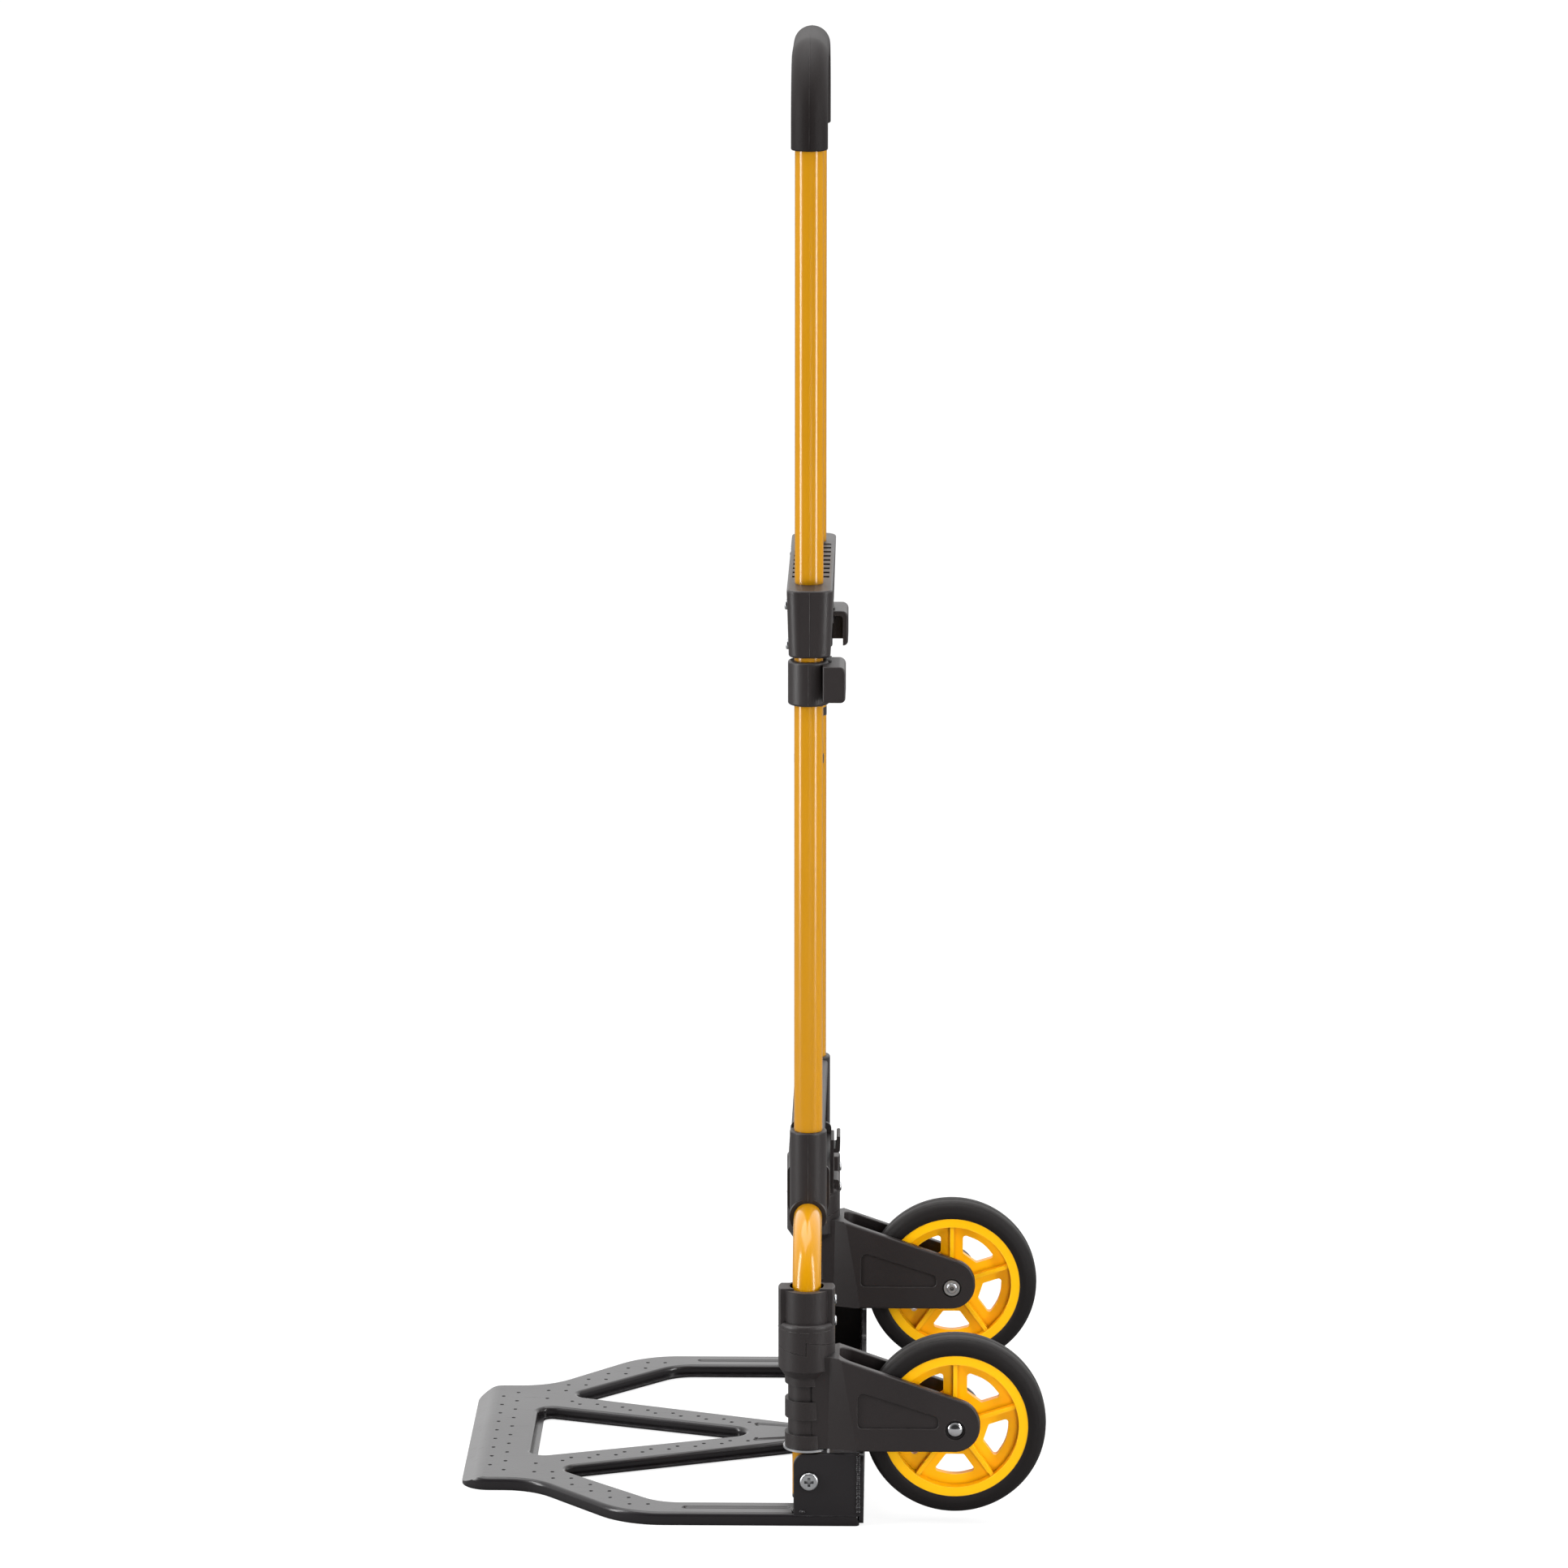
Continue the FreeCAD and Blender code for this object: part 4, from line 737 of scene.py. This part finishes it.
block_low, block_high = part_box("cross_block")
frame_seams = [upright_seam("cross_block", (block_low.x + block_high.x) / 2, side)
               for side in (-1, 1)]
for hand in ("left", "right"):
    low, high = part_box(hand + "_saddle")
    frame_seams += [upright_seam(hand + "_saddle", (low.x + high.x) / 2, side)
                    for side in (-1, 1)]
print("seam points", [len(path) for path in frame_seams])

# %% [markdown]
# The cam collars have a crease all round, a little above their slanted split, where a slide
# of the mould closed. It comes out as dashes, because the slide only touches in places.

# %% Dashed crease on the cam collars
CREASE_UP = 0.0235     # above the collar's lowest point
DASHES = 14
DASH_STEPS = 6


def dashed_ring(part, height, dashes, filled=0.72, reach=0.05):
    """Short arcs round an upright part at one height."""
    low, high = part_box(part)
    middle = Vector(((low.x + high.x) / 2, (low.y + high.y) / 2, height))
    arcs = []
    for dash in range(dashes):
        turns = [math.tau * (dash + filled * step / DASH_STEPS) / dashes
                 for step in range(DASH_STEPS + 1)]
        starts = [middle + Vector((math.cos(a), math.sin(a), 0)) * reach for a in turns]
        arcs.append(trace(part, starts, [middle] * len(starts)))
    return [arc for arc in arcs if len(arc) > 1]


for hand in ("left", "right"):
    crease_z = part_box(hand + "_cam_collar")[0].z + CREASE_UP
    frame_seams += dashed_ring(hand + "_cam_collar", crease_z, DASHES)
grow(bead, "frame_mould_seams", frame_seams, SEAM, "frame", "black_plastic")

# %% [markdown]
# Each release collar slides on its own, so its seam is a piece of its own.

# %% Seams on the release collars
for hand, side in (("left", -1), ("right", 1)):
    low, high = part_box(hand + "_upright")
    seam = upright_seam(hand + "_release_collar", (low.x + high.x) / 2, side)
    grow(bead, hand + "_release_seam", [seam], SEAM, hand + "_release", "black_plastic")

# %% [markdown]
# The grip is moulded over the handle, and its seam runs round the outside of the U. Rays
# come from a wide arch round the handle and aim at its middle line.

# %% Seam round the grip
GRIP_SEAM = {"Radius": 0.0003, "Step": 0.002}
GRIP_BEND = 0.045      # radius of the handle's corners, to the middle of the tube
FOOT_IN = 0.002        # how far above the grip's lower ends the seam starts
ARCH_OUT = 0.03        # how far outside the middle line the rays start
BEND_STEPS = 12

grip_low, grip_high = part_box("handle_grip")
grip_r = (grip_high.x - grip_low.x) / 2
grip_x = (grip_low.x + grip_high.x) / 2
arch_half, arch_top = grip_high.y - grip_r, grip_high.z - grip_r
seam_foot = grip_low.z + FOOT_IN


def arch(half, top, bend):
    """Points along an upside-down U, from the left foot over the top to the right one."""
    left = along((grip_x, -half, seam_foot), (grip_x, -half, top - bend), 8)
    turn = [Vector((grip_x, -half + bend - bend * math.cos(a), top - bend + bend * math.sin(a)))
            for a in (math.pi / 2 * k / BEND_STEPS for k in range(1, BEND_STEPS))]
    bar = along((grip_x, -half + bend, top), (grip_x, half - bend, top), 16)
    right = [Vector((p.x, -p.y, p.z)) for p in reversed(left + turn)]
    return left + turn + bar + right


middle_line = arch(arch_half, arch_top, GRIP_BEND)
outside_line = arch(arch_half + ARCH_OUT, arch_top + ARCH_OUT, GRIP_BEND + ARCH_OUT)
grow(bead, "grip_seam", [trace("handle_grip", outside_line, middle_line)], GRIP_SEAM,
     "handle", "grip_rubber")

# %% [markdown]
# ## Lines on the tyres
# A solid tyre is moulded in two halves, so a fine parting line runs round the middle of the
# tread, and a finer one round each shoulder.

# %% Parting lines round the tyres
TYRE_LINE = {"Radius": 0.0002, "Step": 0.003}
SHOULDER = 0.0088      # from the tyre's middle plane


def ring(part, offset, reach=0.08, count=96):
    """A closed path round a wheel's part, offset from its middle plane."""
    low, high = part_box(part)
    middle = (low + high) / 2 + Vector((0, offset, 0))
    starts = [middle + Vector((math.cos(a), 0, math.sin(a))) * reach
              for a in (math.tau * k / count for k in range(count + 1))]
    return trace(part, starts, [middle] * len(starts))


for hand in ("left", "right"):
    grow(bead, hand + "_tyre_lines",
         [ring(hand + "_tyre", offset) for offset in (-SHOULDER, 0.0, SHOULDER)],
         TYRE_LINE, hand + "_wheel", "tyre_rubber")

# %% [markdown]
# ## Welds on the hinge bracket
# Each ear is welded to the rear wall down its outer corner and down its inner one, with a
# short run at the front foot of the ear, before everything is painted black together.

# %% Weld beads on the toe plate
WELD = {"Size": 0.0018, "Spacing": 0.0014}
FOOT_UP = 0.0035       # the welds start this far above the ear's lower edge
CORNER_POINTS = 12
FRONT_POINTS = 6
FRONT_RUN = 0.0070     # how far back the short front weld goes

weld_paths = []
for hand, side in (("left", -1), ("right", 1)):
    low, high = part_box(hand + "_toe_ear")
    outer_y = high.y if side > 0 else low.y
    inner_y = low.y if side > 0 else high.y
    foot_z = low.z + FOOT_UP
    outer_x, outer_line = high.x - 0.0006, outer_y - side * 0.0004
    inner_x, inner_line = high.x - 0.0002, inner_y + side * 0.0002
    weld_paths += [
        along((outer_x, outer_line, foot_z), (outer_x, outer_line, high.z - 0.002),
              CORNER_POINTS),
        along((inner_x, inner_line, foot_z), (inner_x, inner_line, high.z - 0.004),
              CORNER_POINTS),
        along((low.x + 0.0002, outer_y - side * 0.0030, foot_z),
              (low.x + FRONT_RUN, outer_y - side * 0.0002, foot_z), FRONT_POINTS)]
grow(weld, "bracket_welds", weld_paths, WELD, "toe", "black_paint")
